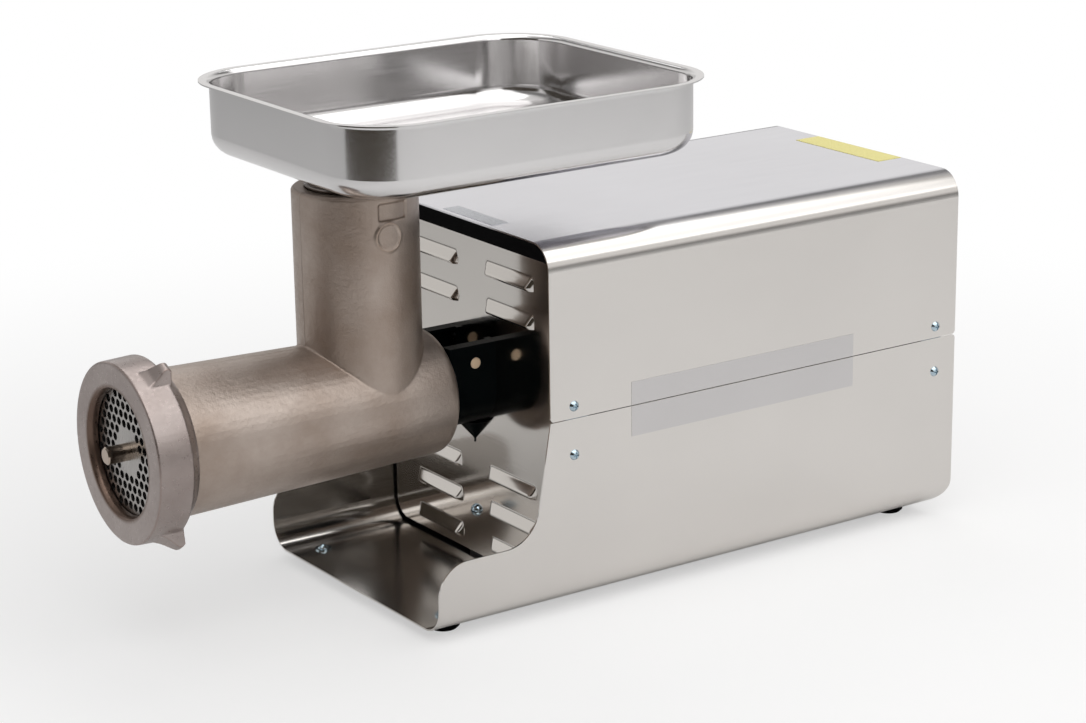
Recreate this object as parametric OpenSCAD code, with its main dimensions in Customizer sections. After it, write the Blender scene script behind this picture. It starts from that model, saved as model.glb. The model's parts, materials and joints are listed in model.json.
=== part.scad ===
// Electric meat grinder, a bench model that takes a 98 mm plate.
// The grinding head points along -X, the back panel faces +X, Y runs across and Z is up.
// The origin lies on the surface the feet stand on, under the middle of the whole machine.

/* [Covers] */
// Length of the top cover
cover_length = 395; // [390:1:460]
// Width over the side walls
cover_width = 245; // [236:1:300]
// Height from the underside of the tray to the top of the cover
cover_height = 277; // [260:1:330]
// Height of the seam between tray and cover
seam_height = 144; // [130:1:160]
// Gap left at the seam
seam_gap = 0.6; // [0.3:0.1:1.2]
// Thickness of the stainless sheet
sheet = 1.2; // [0.8:0.1:2]
// Outer radius of the long bends
bend_r = 20; // [12:1:26]
// How far the tray reaches in front of the cover
tray_reach = 100; // [90:1:130]
// Height of the tray's low side lips
lip_height = 54; // [45:1:60]
// Radius of the lip's front corner
lip_corner_r = 26; // [10:1:35]
// Radius where the lip rises to the seam
lip_rise_r = 30; // [10:1:40]
// Lean of the rising edge, in degrees
lip_lean = 9.8; // [4:0.1:14]
// Radius of the tray's rear lower corners
rear_corner_r = 22; // [8:1:30]
// Radius of the small corners beside the seam
seam_corner_r = 3; // [1:0.5:5]

/* [Panels] */
// How far the end panels sit inside the cover
panel_recess = 13; // [9:0.5:16]
// Gap between a panel's edge and the walls
panel_gap = 3; // [2:0.5:5]
// Distance from the top of the cover down to the panel's top edge
panel_drop = 19; // [14:1:26]
// Width of one louvre
louvre_w = 64; // [45:1:70]
// Height of one louvre
louvre_h = 12; // [9:0.5:16]
// How far a louvre stands out
louvre_d = 5.5; // [3:0.5:7]
// Distance from the middle to the middle of a louvre column
louvre_y = 51.5; // [46:0.5:56]
// Distance between louvre rows
louvre_pitch = 29; // [22:1:34]
// Height of the lowest louvre above the tray's underside
louvre_z = 13; // [9:1:20]
// Height of the lowest louvre of the upper group
louvre_upper_z = 204; // [196:1:212]
// Depth of the black strip over each panel
seal_depth = 12; // [6:1:20]

/* [Feet] */
// Height of the rubber feet
foot_height = 8; // [7:0.5:14]
// Radius of a foot at the top
foot_r = 12; // [9:0.5:16]
// Distance of the feet from the cover's sides
foot_side = 34.5; // [30.5:0.5:42.5]
// Distance of the front feet from the tray's front edge
foot_front = 25; // [20:1:40]
// Distance of the rear feet from the cover's rear edge
foot_back = 37; // [34:1:50]

/* [Grinding head] */
// Height of the auger's axis above the tray's underside
axis_rise = 146; // [140:0.5:152]
// Distance from the cover's front edge forward to the ring's face
ring_reach = 289; // [270:1:320]
// Radius of the barrel at the ring
barrel_front_r = 54.5; // [52.5:0.5:60]
// Radius of the barrel at its rear end
barrel_rear_r = 48.5; // [47:0.5:54]
// Radius of the rounded rear edge of the barrel
barrel_edge_r = 8; // [3:0.5:10]
// Distance from the cover's front edge forward to the barrel's rear face
barrel_gap = 28; // [24:0.5:40]
// Thickness of the barrel's rear wall
barrel_wall = 24; // [18:1:26]
// Radius of the bore that the auger turns in
barrel_bore_r = 42; // [38:0.5:43]
// Distance from the cover's front edge forward to the neck's axis
neck_out = 87; // [84:1:100]
// Outer radius of the neck
neck_r = 46.7; // [44:0.1:48]
// Radius of the bore in the neck
throat_r = 36.2; // [33:0.1:38]
// Height of the neck's rim above the auger's axis
neck_height = 167.5; // [155:0.5:190]
// Radius of the round boss on the neck
boss_r = 11; // [6:0.5:14]
// Distance of the boss below the neck's rim
boss_drop = 31; // [28:0.5:40]
// Width of the shallow recess on the neck
recess_w = 25; // [14:0.5:30]
// Height of the recess
recess_h = 13; // [6:0.5:14]
// Distance of the recess's middle below the neck's rim
recess_drop = 12.5; // [11:0.5:14]

/* [Plate, knife and ring] */
// Radius of the hole plate
plate_r = 49; // [48:0.1:49.5]
// Thickness of the plate
plate_t = 10; // [8:0.5:12]
// Diameter of the holes in the plate
plate_hole = 6; // [4:0.1:6.5]
// Distance between the centres of the holes
plate_pitch = 7.7; // [7.2:0.1:9]
// Radius of the plain middle of the plate
plate_hub_r = 18; // [14:0.5:22]
// Thickness of the knife
knife_t = 9; // [7:0.5:11]
// Reach of the knife's blades
knife_r = 46; // [42:0.5:47]
// Outer radius of the ring nut
ring_r = 67.4; // [64:0.1:72]
// Radius of the ring nut's opening
ring_hole_r = 46; // [43:0.5:47]
// Thickness of the ring nut's lip
ring_lip = 8.3; // [6:0.1:12]
// Length of the ring nut
ring_length = 36; // [34:1:44]
// Radius at the tips of the ring's lugs
lug_r = 77; // [74:0.5:84]
// Radius of the auger's front pin
pin_r = 6.5; // [5:0.1:8]
// How far the pin stands in front of the ring's face
pin_stand = 9.5; // [6:0.5:18]

/* [Auger] */
// Radius of the auger's core
core_r = 16; // [13.5:0.5:22]
// Thickness of the auger's flight along the axis
flight_t = 9; // [6:0.5:14]
// Advance of the flight in one turn
flight_pitch = 48; // [36:1:60]
// Radius of the auger's rear journal
journal_r = 13; // [12:0.1:14]

/* [Feed pan] */
// Length over the pan's rim
pan_length = 322.8; // [300:0.5:360]
// Width over the pan's rim
pan_width = 271.4; // [250:0.5:300]
// Radius of the rim's corners
pan_corner_r = 57.5; // [45:0.5:65]
// Width of the rim's flange
pan_flange = 8; // [6:0.5:12]
// Height of the pan
pan_height = 55.8; // [45:0.5:70]
// Outer radius between wall and floor
pan_floor_r = 16; // [8:0.5:20]
// Thickness of the pan's sheet
pan_t = 1; // [0.8:0.1:1.5]
// Distance from the cover's front edge forward to the pan's middle
pan_out = 1.8; // [-10:0.1:10]
// Height of the pan's floor above the neck's rim
pan_lift = 13.8; // [12.5:0.1:20]
// Length of the spout inside the neck
spout_depth = 24; // [12:1:40]

/* [Drip guard] */
// Half the width of the guard
guard_r = 31.5; // [29:0.5:36]
// Height of the guard's walls above the auger's axis
guard_rise = 37.7; // [30:0.5:45]
// Thickness of the guard
guard_t = 2.8; // [2:0.1:3.5]
// Width of the lips along the guard's open top
guard_lip = 10; // [4:0.5:12]

/* [Drive] */
// Distance between the gear shafts
shaft_gap = 60; // [60:1:60]
// Radius of the motor's housing over the fins
motor_r = 78; // [74:1:84]
// Room between the fan cowl and the back panel
rear_room = 66; // [60:1:80]

/* [Switch and gland] */
// How far the cable gland stands behind the back panel
gland_out = 22; // [18:1:28]
// Travel of the push buttons
button_travel = 3; // [2:0.5:4]

/* [Hidden] */
$fn = 72;

steel = "#c9c9c6";
cast = "#8f857d";
zinc = "#c3cdd3";
black = "#15171a";
bronze = "#b58a4c";
alloy = "#a9acaf";
dark_steel = "#6d7074";

// clearances
run_fit = 0.05;
hold_fit = 0.02;
free_gap = 0.3;
over = 1;

// main places
tray_z = foot_height;
axis_z = tray_z + axis_rise;
cover_top = tray_z + cover_height;
seam_z = tray_z + seam_height;
floor_z = tray_z + sheet;
nose_reach = ring_reach + pin_stand;
front_x = (nose_reach - cover_length + panel_recess - gland_out) / 2;
rear_x = front_x + cover_length;
front_panel_x = front_x + panel_recess;
rear_panel_x = rear_x - panel_recess;
wall_y = cover_width / 2 - sheet;
foot_y = cover_width / 2 - foot_side;
panel_top = cover_top - panel_drop;
panel_y = wall_y - panel_gap;

// screws
m4 = 2;
m4_hole = 2.2;
m4_head = 4.1;
m4_head_h = 2.8;
panel_head = 5.3;
panel_head_h = 4.6;
cross_w = 1;
nut_h = 3.2;
cover_screw_in = 21;
cover_screw_rise = 9.5;
cover_screw_drop = 28;
panel_screw_rise = 40;
panel_screw_z = tray_z + panel_screw_rise;
bracket_t = 2;
bracket_leg = 20;
bracket_h = 62;
bracket_drop = 9;
bracket_top = 12;
floor_leg = 26;
floor_bracket_w = 26;
foot_front_x = front_x - tray_reach + foot_front;
foot_back_x = rear_x - foot_back;
foot_bore_r = 5;
foot_skin = 2;
foot_screw_hole = 2.7;
foot_nut_r = 4.7;
washer_r = 6.5;
washer_t = 1;

// neck
neck_edge = 2;
boss_rim = 1.5;
boss_rise = 1.2;
recess_shift = 4.5;
recess_depth = 1.8;

// grinding head, from front to back
ring_face_x = front_x - ring_reach;
pin_end_x = ring_face_x - pin_stand;
plate_x = ring_face_x + ring_lip;
knife_x = plate_x + plate_t + free_gap;
plate_nose = 2;
barrel_front_x = plate_x + plate_nose;
auger_front_x = knife_x + knife_t + free_gap;
chamber_x = knife_x + knife_t;
chamber_r = plate_r + free_gap;
ring_back_x = ring_face_x + ring_length;
ring_bore_r = barrel_front_r + free_gap;
barrel_rear_x = front_x - barrel_gap;
cavity_x = barrel_rear_x - barrel_wall;
neck_x = front_x - neck_out;
neck_top = axis_z + neck_height;
thrust_t = 4;
washer_play = 0.2;
washer_x = cavity_x - thrust_t - washer_play;
auger_back_x = washer_x - free_gap;
flight_r = barrel_bore_r - 0.5;
bush_r = 17;
flight_slices = 100;
flight_edges = 14;
key_r = 2.4;
tang = 17;
hex_tang = 15;
journal_out = 2;
hex_length = 22;
journal_end_x = barrel_rear_x + journal_out;
shaft_front_x = journal_end_x + over;
hex_end_x = shaft_front_x + hex_length;
mouth_edge = 2;
mouth_depth = 3.5;
face_edge = 1.6;
ring_band = 28.5;
band_edge = 3;
heel = 2.5;
heel_length = 1.5;
lug_angles = [63.5, -56.5, 183.5];
lug_front = 8;
lug_length = ring_band - band_edge / 3 - lug_front;
lug_root = 11;
lug_tip = 4;
lug_crest = 7;
lug_swell = 2.2;
pin_edge = 1;
key_end_gap = 2;
barrel_nose = 1;
washer_rim = 12;
blade_w = 15;
blade_trim = 1.5;
blade_root = 6;
knife_hub_rim = 3;
plate_margin = 1.5;

// bolts
m5 = 2.5;
m5_head = 4.4;
m5_head_h = 3.5;
m5_cap_h = 5;
m6 = 3;
m6_head = 5.7;
m6_head_h = 4;
m6_nut_h = 4.5;

// coupling
tube_r = 18;
tube_bore_r = 13.5;
tube_flange_r = 27;
tube_flange_t = 6;
tube_back_r = 34;
tube_bolt_ring = 22.5;
back_bolt_ring = 28;
barrel_thread = 16;
panel_hole_r = 28;
guard_back_x = front_panel_x - hold_fit;
guard_front_x = barrel_rear_x + hold_fit;
guard_hole_r = 4.5;
guard_hole_in = 22.7;
guard_hole_x = barrel_rear_x + guard_hole_in;
guard_hole_rise = 23.6;
guard_slot = tube_r + free_gap;
guard_screw_y = 24;
guard_screw_rise = 30;
guard_screw_out = 3;
drip_r = 15;
drip_tip_r = 0.8;
drip_nib = 4;
drip_drop = 18.5;
drip_depth = guard_r + drip_drop;

// feed pan
pan_x = front_x - pan_out;
pan_floor_z = neck_top + pan_lift;
pan_cx = pan_length / 2 - pan_corner_r;
pan_cy = pan_width / 2 - pan_corner_r;
pan_wall_r = pan_corner_r - pan_flange;
rim_bend = 4;
spout_gap = 0.5;
spout_r = throat_r - spout_gap;
spout_bend = 11;
bead_r = 1.5;

// foils
foil_t = 0.25;
side_foil_x = 73;
side_foil_z = 120;
side_foil_l = 215;
side_foil_h = 42.5;
rear_foil = [24, 104];
rear_foil_y = -54;
nose_foil = [14, 68];
nose_foil_x = 4;
nose_foil_y = -44;

// gear train: teeth and modules
module_1 = 2;
module_2 = 2.5;
teeth_motor = 14;
teeth_lay = 46;
teeth_lay_pinion = 13;
teeth_out = 35;
pressure = 20;
tooth_thin = 0.15;
short_addendum = 0.8;
face_1 = 16;
face_2 = 25;
face_over = 1;
tooth_root = 1.2;

// gearbox, from front to back
tube_in = 38;
seat_gap = 0.5;
gear_gap = 2;
tube_back_x = front_x + tube_in;
cover_x = tube_back_x + tube_flange_t;
cover_t = 8;
housing_x = cover_x + cover_t;
seal_t = 7;
seal_r = 20;
bearing_x = cover_x + seal_t + seat_gap;
bearing_t = 15;
bearing_r = 26;
shaft_r = 12.5;
back_bolt_l = tube_flange_t + seal_t - over;
collar_l = 3;
collar_rim = 2;
out_gear_x = bearing_x + bearing_t + collar_l + seat_gap;
bridge_x = out_gear_x + face_2 + gear_gap;
bridge_t = 12;
bridge_rim = 6;
rear_journal_r = 10;
bridge_bearing_r = 21;
lay_gear_x = bridge_x + bridge_t + 2 * gear_gap;
lay_z = axis_z - shaft_gap;
lay_r = 9;
lay_bearing_r = 17.5;
lay_bearing_bore = 7.5;
lay_bearing_t = 10;
lay_play = 1;
box_r = 58;
box_wall = 6;
wall_x = lay_gear_x + face_1 + gear_gap + over;
wall_t = 12;
motor_x = wall_x + wall_t;
box_bolt_out = 4.5;
box_lug_r = 8;
boss_wall = 5;
lug_t = 10;
spigot_r = 24;
spigot_l = 6;
motor_bolt_in = 3;
motor_bolt_start = 2;
motor_bolt_ring = box_r - box_wall - motor_bolt_in;
motor_bolt_l = 18;
foot_plate_t = 12;
foot_plate_w = 160;
foot_bolt_y = 70;

// motor
shield_t = 10;
motor_core_x = motor_x + shield_t;
shell_r = 72;
stator_r = 66;
stator_bore = 38;
rotor_r = 37.5;
rotor_step = 6;
winding_l = 14;
winding_out = 6;
winding_in = 4;
core_in = 22;
shield_lip = 3;
shield_r = shell_r + shield_lip;
shield_bore_gap = 3;
shield_thread = 16;
fan_air = 6;
fan_t = 18;
cowl_air = 8;
cowl_end_x = rear_panel_x - rear_room;
fan_x = cowl_end_x - cowl_air - fan_t;
motor_end_x = fan_x - fan_air - shield_t;
motor_length = motor_end_x - motor_core_x;
core_length = motor_length - 2 * core_in;
small_bearing_r = 17.5;
small_bearing_t = 11;
motor_journal = 8;
rotor_shaft_r = 13;
fan_r = 60;
fan_hub_r = 14;
fan_blades = 7;
fan_blade_t = 2.4;
cowl_t = 1.5;
cowl_step = 1;
cowl_r = shield_r + hold_fit + cowl_t;
cowl_rings = [24, 38, 52];
cowl_vent_r = 4.5;
fins = 24;
fin_t = 3;
fin_root = 1;
saddle_l = 50;
saddle_x = motor_core_x + (motor_length - saddle_l) / 2;
saddle_w = 130;
saddle_block_w = 90;
saddle_bolt_y = 56;
saddle_bolt_in = 10;
box_foot_in = 14;

// switch and gland on the back panel
switch_side = 64.5;
switch_rise = 14;
switch_y = cover_width / 2 - switch_side;
switch_z = axis_z + switch_rise;
switch_w = 42;
switch_h = 66;
switch_depth = 40;
flange_w = 52;
flange_h = 76;
flange_t = 3;
button_size = 20;
button_gap = 28;
button_hole = button_size + 2 * free_gap;
button_edge = 3;
flange_edge = 5;
button_proud = 4;
button_depth = 12;
gland_side = 60.5;
gland_y = gland_side - cover_width / 2;
gland_z = axis_z;
gland_thread_r = 10;
gland_hex = 13.9;
gland_hex_t = 5;
gland_in = 14;
gland_step = 6;
gland_nut_step = 1;
gland_tube_x = rear_panel_x + gland_hex_t + gland_step;
gland_nut_r = gland_hex - gland_nut_step;
gland_cone = 4;
gland_seal_l = 17;
gland_bore_r = 5.5;
cable_r = 4;
lock_nut_t = 5;
capacitor_r = 20;
capacitor_h = 92;
capacitor_wall = 51.3;
capacitor_y = capacitor_wall - wall_y;
capacitor_x = cowl_end_x + over + capacitor_r;
tab_w = 6;
tab_h = 16;

// ---- shared shapes ----

// a round bar along X, in absolute X, about the line y = 0, z = 0
module rod_x(x1, x2, r) {
    translate([x1, 0, 0])
        rotate([0, 90, 0])
            cylinder(r = r, h = x2 - x1);
}

module tube_x(x1, x2, r_out, r_in) {
    difference() {
        rod_x(x1, x2, r_out);
        rod_x(x1 - over, x2 + over, r_in);
    }
}

module on_axis() {
    translate([0, 0, axis_z])
        children();
}

module on_layshaft() {
    translate([0, 0, lay_z])
        children();
}

// a flat shape drawn in Y and Z, made thick along X
module slab_x(x1, x2) {
    translate([x1, 0, 0])
        rotate([90, 0, 90])
            linear_extrude(x2 - x1)
                children();
}

// a flat shape drawn in X and Z, made thick across the machine
module slab_y(width) {
    translate([0, width / 2, 0])
        rotate([90, 0, 0])
            linear_extrude(width)
                children();
}

// a hole across the machine, through both side walls
module cross_hole(x, z, r) {
    translate([x, cover_width / 2 + over, z])
        rotate([90, 0, 0])
            cylinder(r = r, h = cover_width + 2 * over);
}

// a rectangle with its two lower corners rounded, standing on z = 0
module round_foot(w, h, r) {
    translate([-w / 2, r])
        square([w, h - r]);
    translate([r - w / 2, 0])
        square([w - 2 * r, 2 * r]);
    for (side = [-1, 1])
        translate([side * (w / 2 - r), r])
            circle(r);
}

// a rectangle with four rounded corners, centred
module round_rect(w, h, r) {
    square([w - 2 * r, h], center = true);
    square([w, h - 2 * r], center = true);
    for (a = [-1, 1])
        for (b = [-1, 1])
            translate([a * (w / 2 - r), b * (h / 2 - r)])
                circle(r);
}

// the open channel that both covers are bent to
module channel(h) {
    difference() {
        round_foot(cover_width, h, bend_r);
        translate([0, sheet])
            round_foot(cover_width - 2 * sheet, h, bend_r - sheet);
    }
}

// a pan-head screw along +Z: the head is above z = 0, the shank below
module pan_screw(r, length, head_r, head_h) {
    dome_r = (head_r * head_r + head_h * head_h) / (2 * head_h);
    difference() {
        union() {
            translate([0, 0, -length])
                cylinder(r = r, h = length + head_h / 3);
            intersection() {
                translate([0, 0, head_h - dome_r])
                    sphere(dome_r);
                cylinder(r = head_r, h = head_h);
            }
        }
        for (turn = [0, 90])
            rotate([0, 0, turn])
                translate([0, 0, head_h])
                    cube([head_r * 1.2, cross_w, head_h * 1.2], center = true);
    }
}

module hex_bolt(r, length, head_r, head_h) {
    translate([0, 0, -length])
        cylinder(r = r, h = length + over);
    cylinder(r = head_r, h = head_h, $fn = 6);
}

// a socket head screw: its head stands above z = 0
module cap_screw(r, length, head_r, head_h) {
    difference() {
        union() {
            translate([0, 0, -length])
                cylinder(r = r, h = length + over);
            cylinder(r = head_r, h = head_h);
        }
        translate([0, 0, head_h / 2])
            cylinder(r = r, h = head_h, $fn = 6);
    }
}

module hex_nut(r, bore, h) {
    difference() {
        cylinder(r = r, h = h, $fn = 6);
        translate([0, 0, -over])
            cylinder(r = bore, h = h + 2 * over);
    }
}

// points the local +Z along -X
module face_front(x, y, z) {
    translate([x, y, z])
        rotate([0, -90, 0])
            children();
}

module face_back(x, y, z) {
    translate([x, y, z])
        rotate([0, 90, 0])
            children();
}

// ---- covers ----

// cuts a square corner at a place to a radius; unturned, the material lies towards +X and +Y
module corner_cut(place, turn, r) {
    translate(place)
        rotate(turn)
            difference() {
                translate([-over, -over])
                    square(r + over);
                translate([r, r])
                    circle(r);
            }
}

// side view of the tray, with x = 0 at the cover's front edge and z = 0 underneath
module tray_side() {
    top = seam_height - seam_gap / 2;
    foot_x = -(top - lip_height) * tan(lip_lean);
    touch = lip_rise_r / tan(45 + lip_lean / 2);
    centre = [foot_x - touch, lip_height + lip_rise_r];
    difference() {
        polygon([
            [-tray_reach, 0],
            [-tray_reach, lip_height],
            [centre[0], lip_height],
            centre,
            [foot_x + touch * sin(lip_lean), lip_height + touch * cos(lip_lean)],
            [0, top],
            [cover_length, top],
            [cover_length, 0]
        ]);
        translate(centre)
            circle(lip_rise_r);
        corner_cut([-tray_reach, lip_height], -90, lip_corner_r);
        corner_cut([cover_length, top], 180, seam_corner_r);
        corner_cut([cover_length, 0], 90, rear_corner_r);
    }
}

module cover_screw_holes() {
    for (x = [front_x + cover_screw_in, rear_x - cover_screw_in])
        for (z = [seam_z + cover_screw_rise, seam_z - cover_screw_drop])
            cross_hole(x, z, m4_hole);
}

module foot_places() {
    for (x = [foot_front_x, foot_back_x])
        for (side = [-1, 1])
            translate([x, side * foot_y, tray_z])
                children();
}

module base_bolt_places() {
    for (x = [housing_x + box_foot_in, motor_x - box_foot_in])
        for (side = [-1, 1])
            translate([x, side * foot_bolt_y, floor_z + foot_plate_t])
                children();
    for (x = [saddle_x + saddle_bolt_in, saddle_x + saddle_l - saddle_bolt_in])
        for (side = [-1, 1])
            translate([x, side * saddle_bolt_y, floor_z + foot_plate_t])
                children();
}

module bottom_tray() {
    color(steel)
        difference() {
            intersection() {
                slab_x(front_x - tray_reach, rear_x)
                    translate([0, tray_z])
                        channel(seam_height);
                translate([front_x, 0, tray_z])
                    slab_y(cover_width + 2 * over)
                        tray_side();
            }
            cover_screw_holes();
            foot_places()
                cylinder(r = foot_screw_hole, h = 10 * sheet, center = true);
            base_bolt_places()
                translate([0, 0, -foot_plate_t])
                    cylinder(r = m6 + free_gap, h = 10 * sheet, center = true);
        }
}

module top_cover() {
    height = cover_height - seam_height - seam_gap / 2;
    color(steel)
        difference() {
            intersection() {
                slab_x(front_x, rear_x)
                    translate([0, cover_top])
                        mirror([0, 1])
                            channel(height);
                translate([front_x + cover_length / 2, 0, cover_top])
                    slab_y(cover_width + 2 * over)
                        mirror([0, 1])
                            translate([0, height])
                                mirror([0, 1])
                                    round_foot(cover_length, height + over, seam_corner_r);
            }
            cover_screw_holes();
        }
}

// ---- panels ----

function louvre_rows() = concat(
    [for (i = [0 : 2]) tray_z + louvre_z + i * louvre_pitch],
    [for (i = [0 : 1]) tray_z + louvre_upper_z + i * louvre_pitch]
);

module louvre_places() {
    for (z = louvre_rows())
        for (side = [-1, 1])
            translate([0, side * louvre_y, z])
                children();
}

// a pressed hood that opens downwards; -X is outwards
module louvre_hood() {
    slab_y(louvre_w)
        polygon([[0, 0], [-louvre_d, 0], [-louvre_d, louvre_d / 3], [0, louvre_h]]);
}

module louvre_hollow() {
    slab_y(louvre_w - 2 * sheet)
        polygon([
            [sheet + over, -over],
            [sheet - louvre_d, -over],
            [sheet - louvre_d, louvre_d / 3],
            [0, louvre_h - 2 * sheet],
            [sheet + over, louvre_h - 2 * sheet]
        ]);
}

// a louvred panel whose outer face is x = 0 and faces -X
module louvred_panel() {
    low = sheet + panel_gap;
    difference() {
        union() {
            slab_x(0, sheet)
                translate([0, tray_z + low])
                    round_foot(2 * panel_y, panel_top - tray_z - low, bend_r - low);
            louvre_places()
                louvre_hood();
        }
        louvre_places()
            louvre_hollow();
        translate([-over, 0, panel_screw_z])
            rod_x(0, sheet + 2 * over, m4_hole);
    }
}

module front_panel() {
    color(steel)
        difference() {
            translate([front_panel_x, 0, 0])
                louvred_panel();
            on_axis()
                rod_x(front_panel_x - over, front_panel_x + sheet + over, panel_hole_r);
            for (side = [-1, 1])
                translate([0, side * guard_screw_y, axis_z + guard_screw_rise])
                    rod_x(front_panel_x - over, front_panel_x + sheet + over, m4_hole);
        }
}

module rear_panel() {
    color(steel)
        difference() {
            translate([rear_panel_x, 0, 0])
                mirror([1, 0, 0])
                    louvred_panel();
            translate([rear_panel_x - sheet / 2, switch_y, switch_z])
                cube([4 * sheet, switch_w + free_gap, switch_h + free_gap], center = true);
            translate([0, gland_y, gland_z])
                rod_x(rear_panel_x - 2 * sheet, rear_panel_x + over, gland_thread_r + hold_fit);
        }
}

// the black strip that closes the space between a panel and the cover
module seal_strip(x) {
    slab_x(x, x + seal_depth)
        intersection() {
            translate([0, cover_top - sheet - hold_fit])
                mirror([0, 1])
                    round_foot(2 * (wall_y - hold_fit), seam_height, bend_r - sheet);
            translate([-cover_width / 2, panel_top + hold_fit])
                square([cover_width, panel_drop]);
        }
}

module panel_seals() {
    color(black) {
        seal_strip(front_panel_x);
        seal_strip(rear_panel_x - seal_depth);
    }
}

// an angle behind a panel's edge; it carries the cover's screws
module side_bracket() {
    low = seam_z - bracket_h / 2 - bracket_drop;
    difference() {
        translate([0, 0, low])
            linear_extrude(bracket_h)
                polygon([
                    [0, 0],
                    [bracket_leg, 0],
                    [bracket_leg, -bracket_t],
                    [bracket_t, -bracket_t],
                    [bracket_t, -bracket_leg],
                    [0, -bracket_leg]
                ]);
        for (z = [seam_z + cover_screw_rise, seam_z - cover_screw_drop])
            translate([cover_screw_in - panel_recess - sheet, over, z])
                rotate([90, 0, 0])
                    cylinder(r = m4_hole, h = 2 * bracket_t + over);
    }
}

module bracket_places() {
    for (end = [0, 1])
        for (side = [0, 1])
            translate([front_x + cover_length / 2, 0, 0])
                mirror([end, 0, 0])
                    mirror([0, side, 0])
                        translate([panel_recess + sheet - cover_length / 2, wall_y, 0])
                            children();
}

module side_brackets() {
    color(zinc)
        bracket_places()
            side_bracket();
}

// a foot behind each panel for its lower screw
module floor_bracket() {
    difference() {
        translate([0, 0, floor_z])
            slab_y(floor_bracket_w)
                polygon([
                    [0, 0],
                    [floor_leg, 0],
                    [floor_leg, bracket_t],
                    [bracket_t, bracket_t],
                    [bracket_t, panel_screw_z - floor_z + bracket_top],
                    [0, panel_screw_z - floor_z + bracket_top]
                ]);
        translate([-over, 0, panel_screw_z])
            rod_x(0, bracket_t + 2 * over, m4_hole);
    }
}

module floor_bracket_places() {
    for (end = [0, 1])
        translate([front_x + cover_length / 2, 0, 0])
            mirror([end, 0, 0])
                translate([panel_recess + sheet - cover_length / 2, 0, 0])
                    children();
}

module floor_brackets() {
    color(black)
        floor_bracket_places()
            floor_bracket();
}

module bracket_nuts() {
    color(zinc) {
        bracket_places()
            for (z = [seam_z + cover_screw_rise, seam_z - cover_screw_drop])
                translate([cover_screw_in - panel_recess - sheet, -bracket_t, z])
                    rotate([90, 0, 0])
                        hex_nut(2 * m4, m4_hole, nut_h);
        floor_bracket_places()
            translate([bracket_t, 0, panel_screw_z])
                rotate([0, 90, 0])
                    hex_nut(2 * m4, m4_hole, nut_h);
    }
}

module cover_screws() {
    color(zinc)
        for (x = [front_x + cover_screw_in, rear_x - cover_screw_in])
            for (z = [seam_z + cover_screw_rise, seam_z - cover_screw_drop])
                for (side = [-1, 1])
                    translate([x, side * cover_width / 2, z])
                        rotate([-90 * side, 0, 0])
                            pan_screw(m4, sheet + bracket_t + nut_h + over, m4_head, m4_head_h);
}

module panel_screws() {
    length = sheet + bracket_t + nut_h + over;
    color(zinc) {
        face_front(front_panel_x, 0, panel_screw_z)
            pan_screw(m4, length, panel_head, panel_head_h);
        face_back(rear_panel_x, 0, panel_screw_z)
            pan_screw(m4, length, panel_head, panel_head_h);
    }
}

// ---- feet ----

module rubber_feet() {
    color(black)
        foot_places()
            translate([0, 0, -foot_height])
                difference() {
                    union() {
                        cylinder(r1 = foot_r - foot_skin, r2 = foot_r, h = foot_skin);
                        translate([0, 0, foot_skin])
                            cylinder(r = foot_r, h = foot_height - foot_skin);
                    }
                    translate([0, 0, -over])
                        cylinder(r = foot_bore_r, h = foot_skin + over);
                    cylinder(r = foot_nut_r + hold_fit, h = foot_height - foot_skin, $fn = 6);
                    cylinder(r = foot_screw_hole, h = foot_height + over);
                }
}

module foot_screws() {
    color(zinc)
        foot_places()
            translate([0, 0, sheet + washer_t])
                pan_screw(foot_screw_hole - run_fit, sheet + washer_t + foot_skin + nut_h,
                m5_head, m4_head_h);
}

module foot_washers() {
    color(zinc)
        foot_places()
            translate([0, 0, sheet])
                difference() {
                    cylinder(r = washer_r, h = washer_t);
                    cylinder(r = foot_screw_hole, h = 3 * washer_t, center = true);
                }
}

module foot_nuts() {
    color(zinc)
        foot_places()
            translate([0, 0, -foot_skin - nut_h])
                hex_nut(foot_nut_r, foot_screw_hole, nut_h);
}

// ---- foils, left blank ----

// two strips, because the foil is cut along the seam
module side_foil() {
    low = tray_z + side_foil_z;
    high = low + side_foil_h;
    color("#d5d7d6")
        for (span = [[low, seam_z - seam_gap], [seam_z + seam_gap, high]])
            translate([front_x + side_foil_x, -cover_width / 2 - foil_t, span[0]])
                cube([side_foil_l, foil_t, span[1] - span[0]]);
}

module top_foils() {
    color("#e6cf58")
        translate([rear_x - rear_foil[0] - over, rear_foil_y, cover_top])
            cube([rear_foil[0], rear_foil[1], foil_t]);
    color("#d5d7d6")
        translate([front_x + nose_foil_x, nose_foil_y, cover_top])
            cube([nose_foil[0], nose_foil[1], foil_t]);
}

// ---- grinding head ----

module barrel_profile() {
    taper = (barrel_front_r - barrel_rear_r) / (barrel_rear_x - ring_back_x);
    edge_x = barrel_rear_x - barrel_edge_r;
    edge_r = barrel_rear_r + taper * barrel_edge_r;
    polygon([
        [0, barrel_front_x],
        [barrel_front_r - barrel_nose, barrel_front_x],
        [barrel_front_r, barrel_front_x + barrel_nose],
        [barrel_front_r, ring_back_x],
        [edge_r, edge_x],
        [edge_r - barrel_edge_r, edge_x],
        [edge_r - barrel_edge_r, barrel_rear_x],
        [0, barrel_rear_x]
    ]);
    translate([edge_r - barrel_edge_r, edge_x])
        circle(barrel_edge_r);
}

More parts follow.
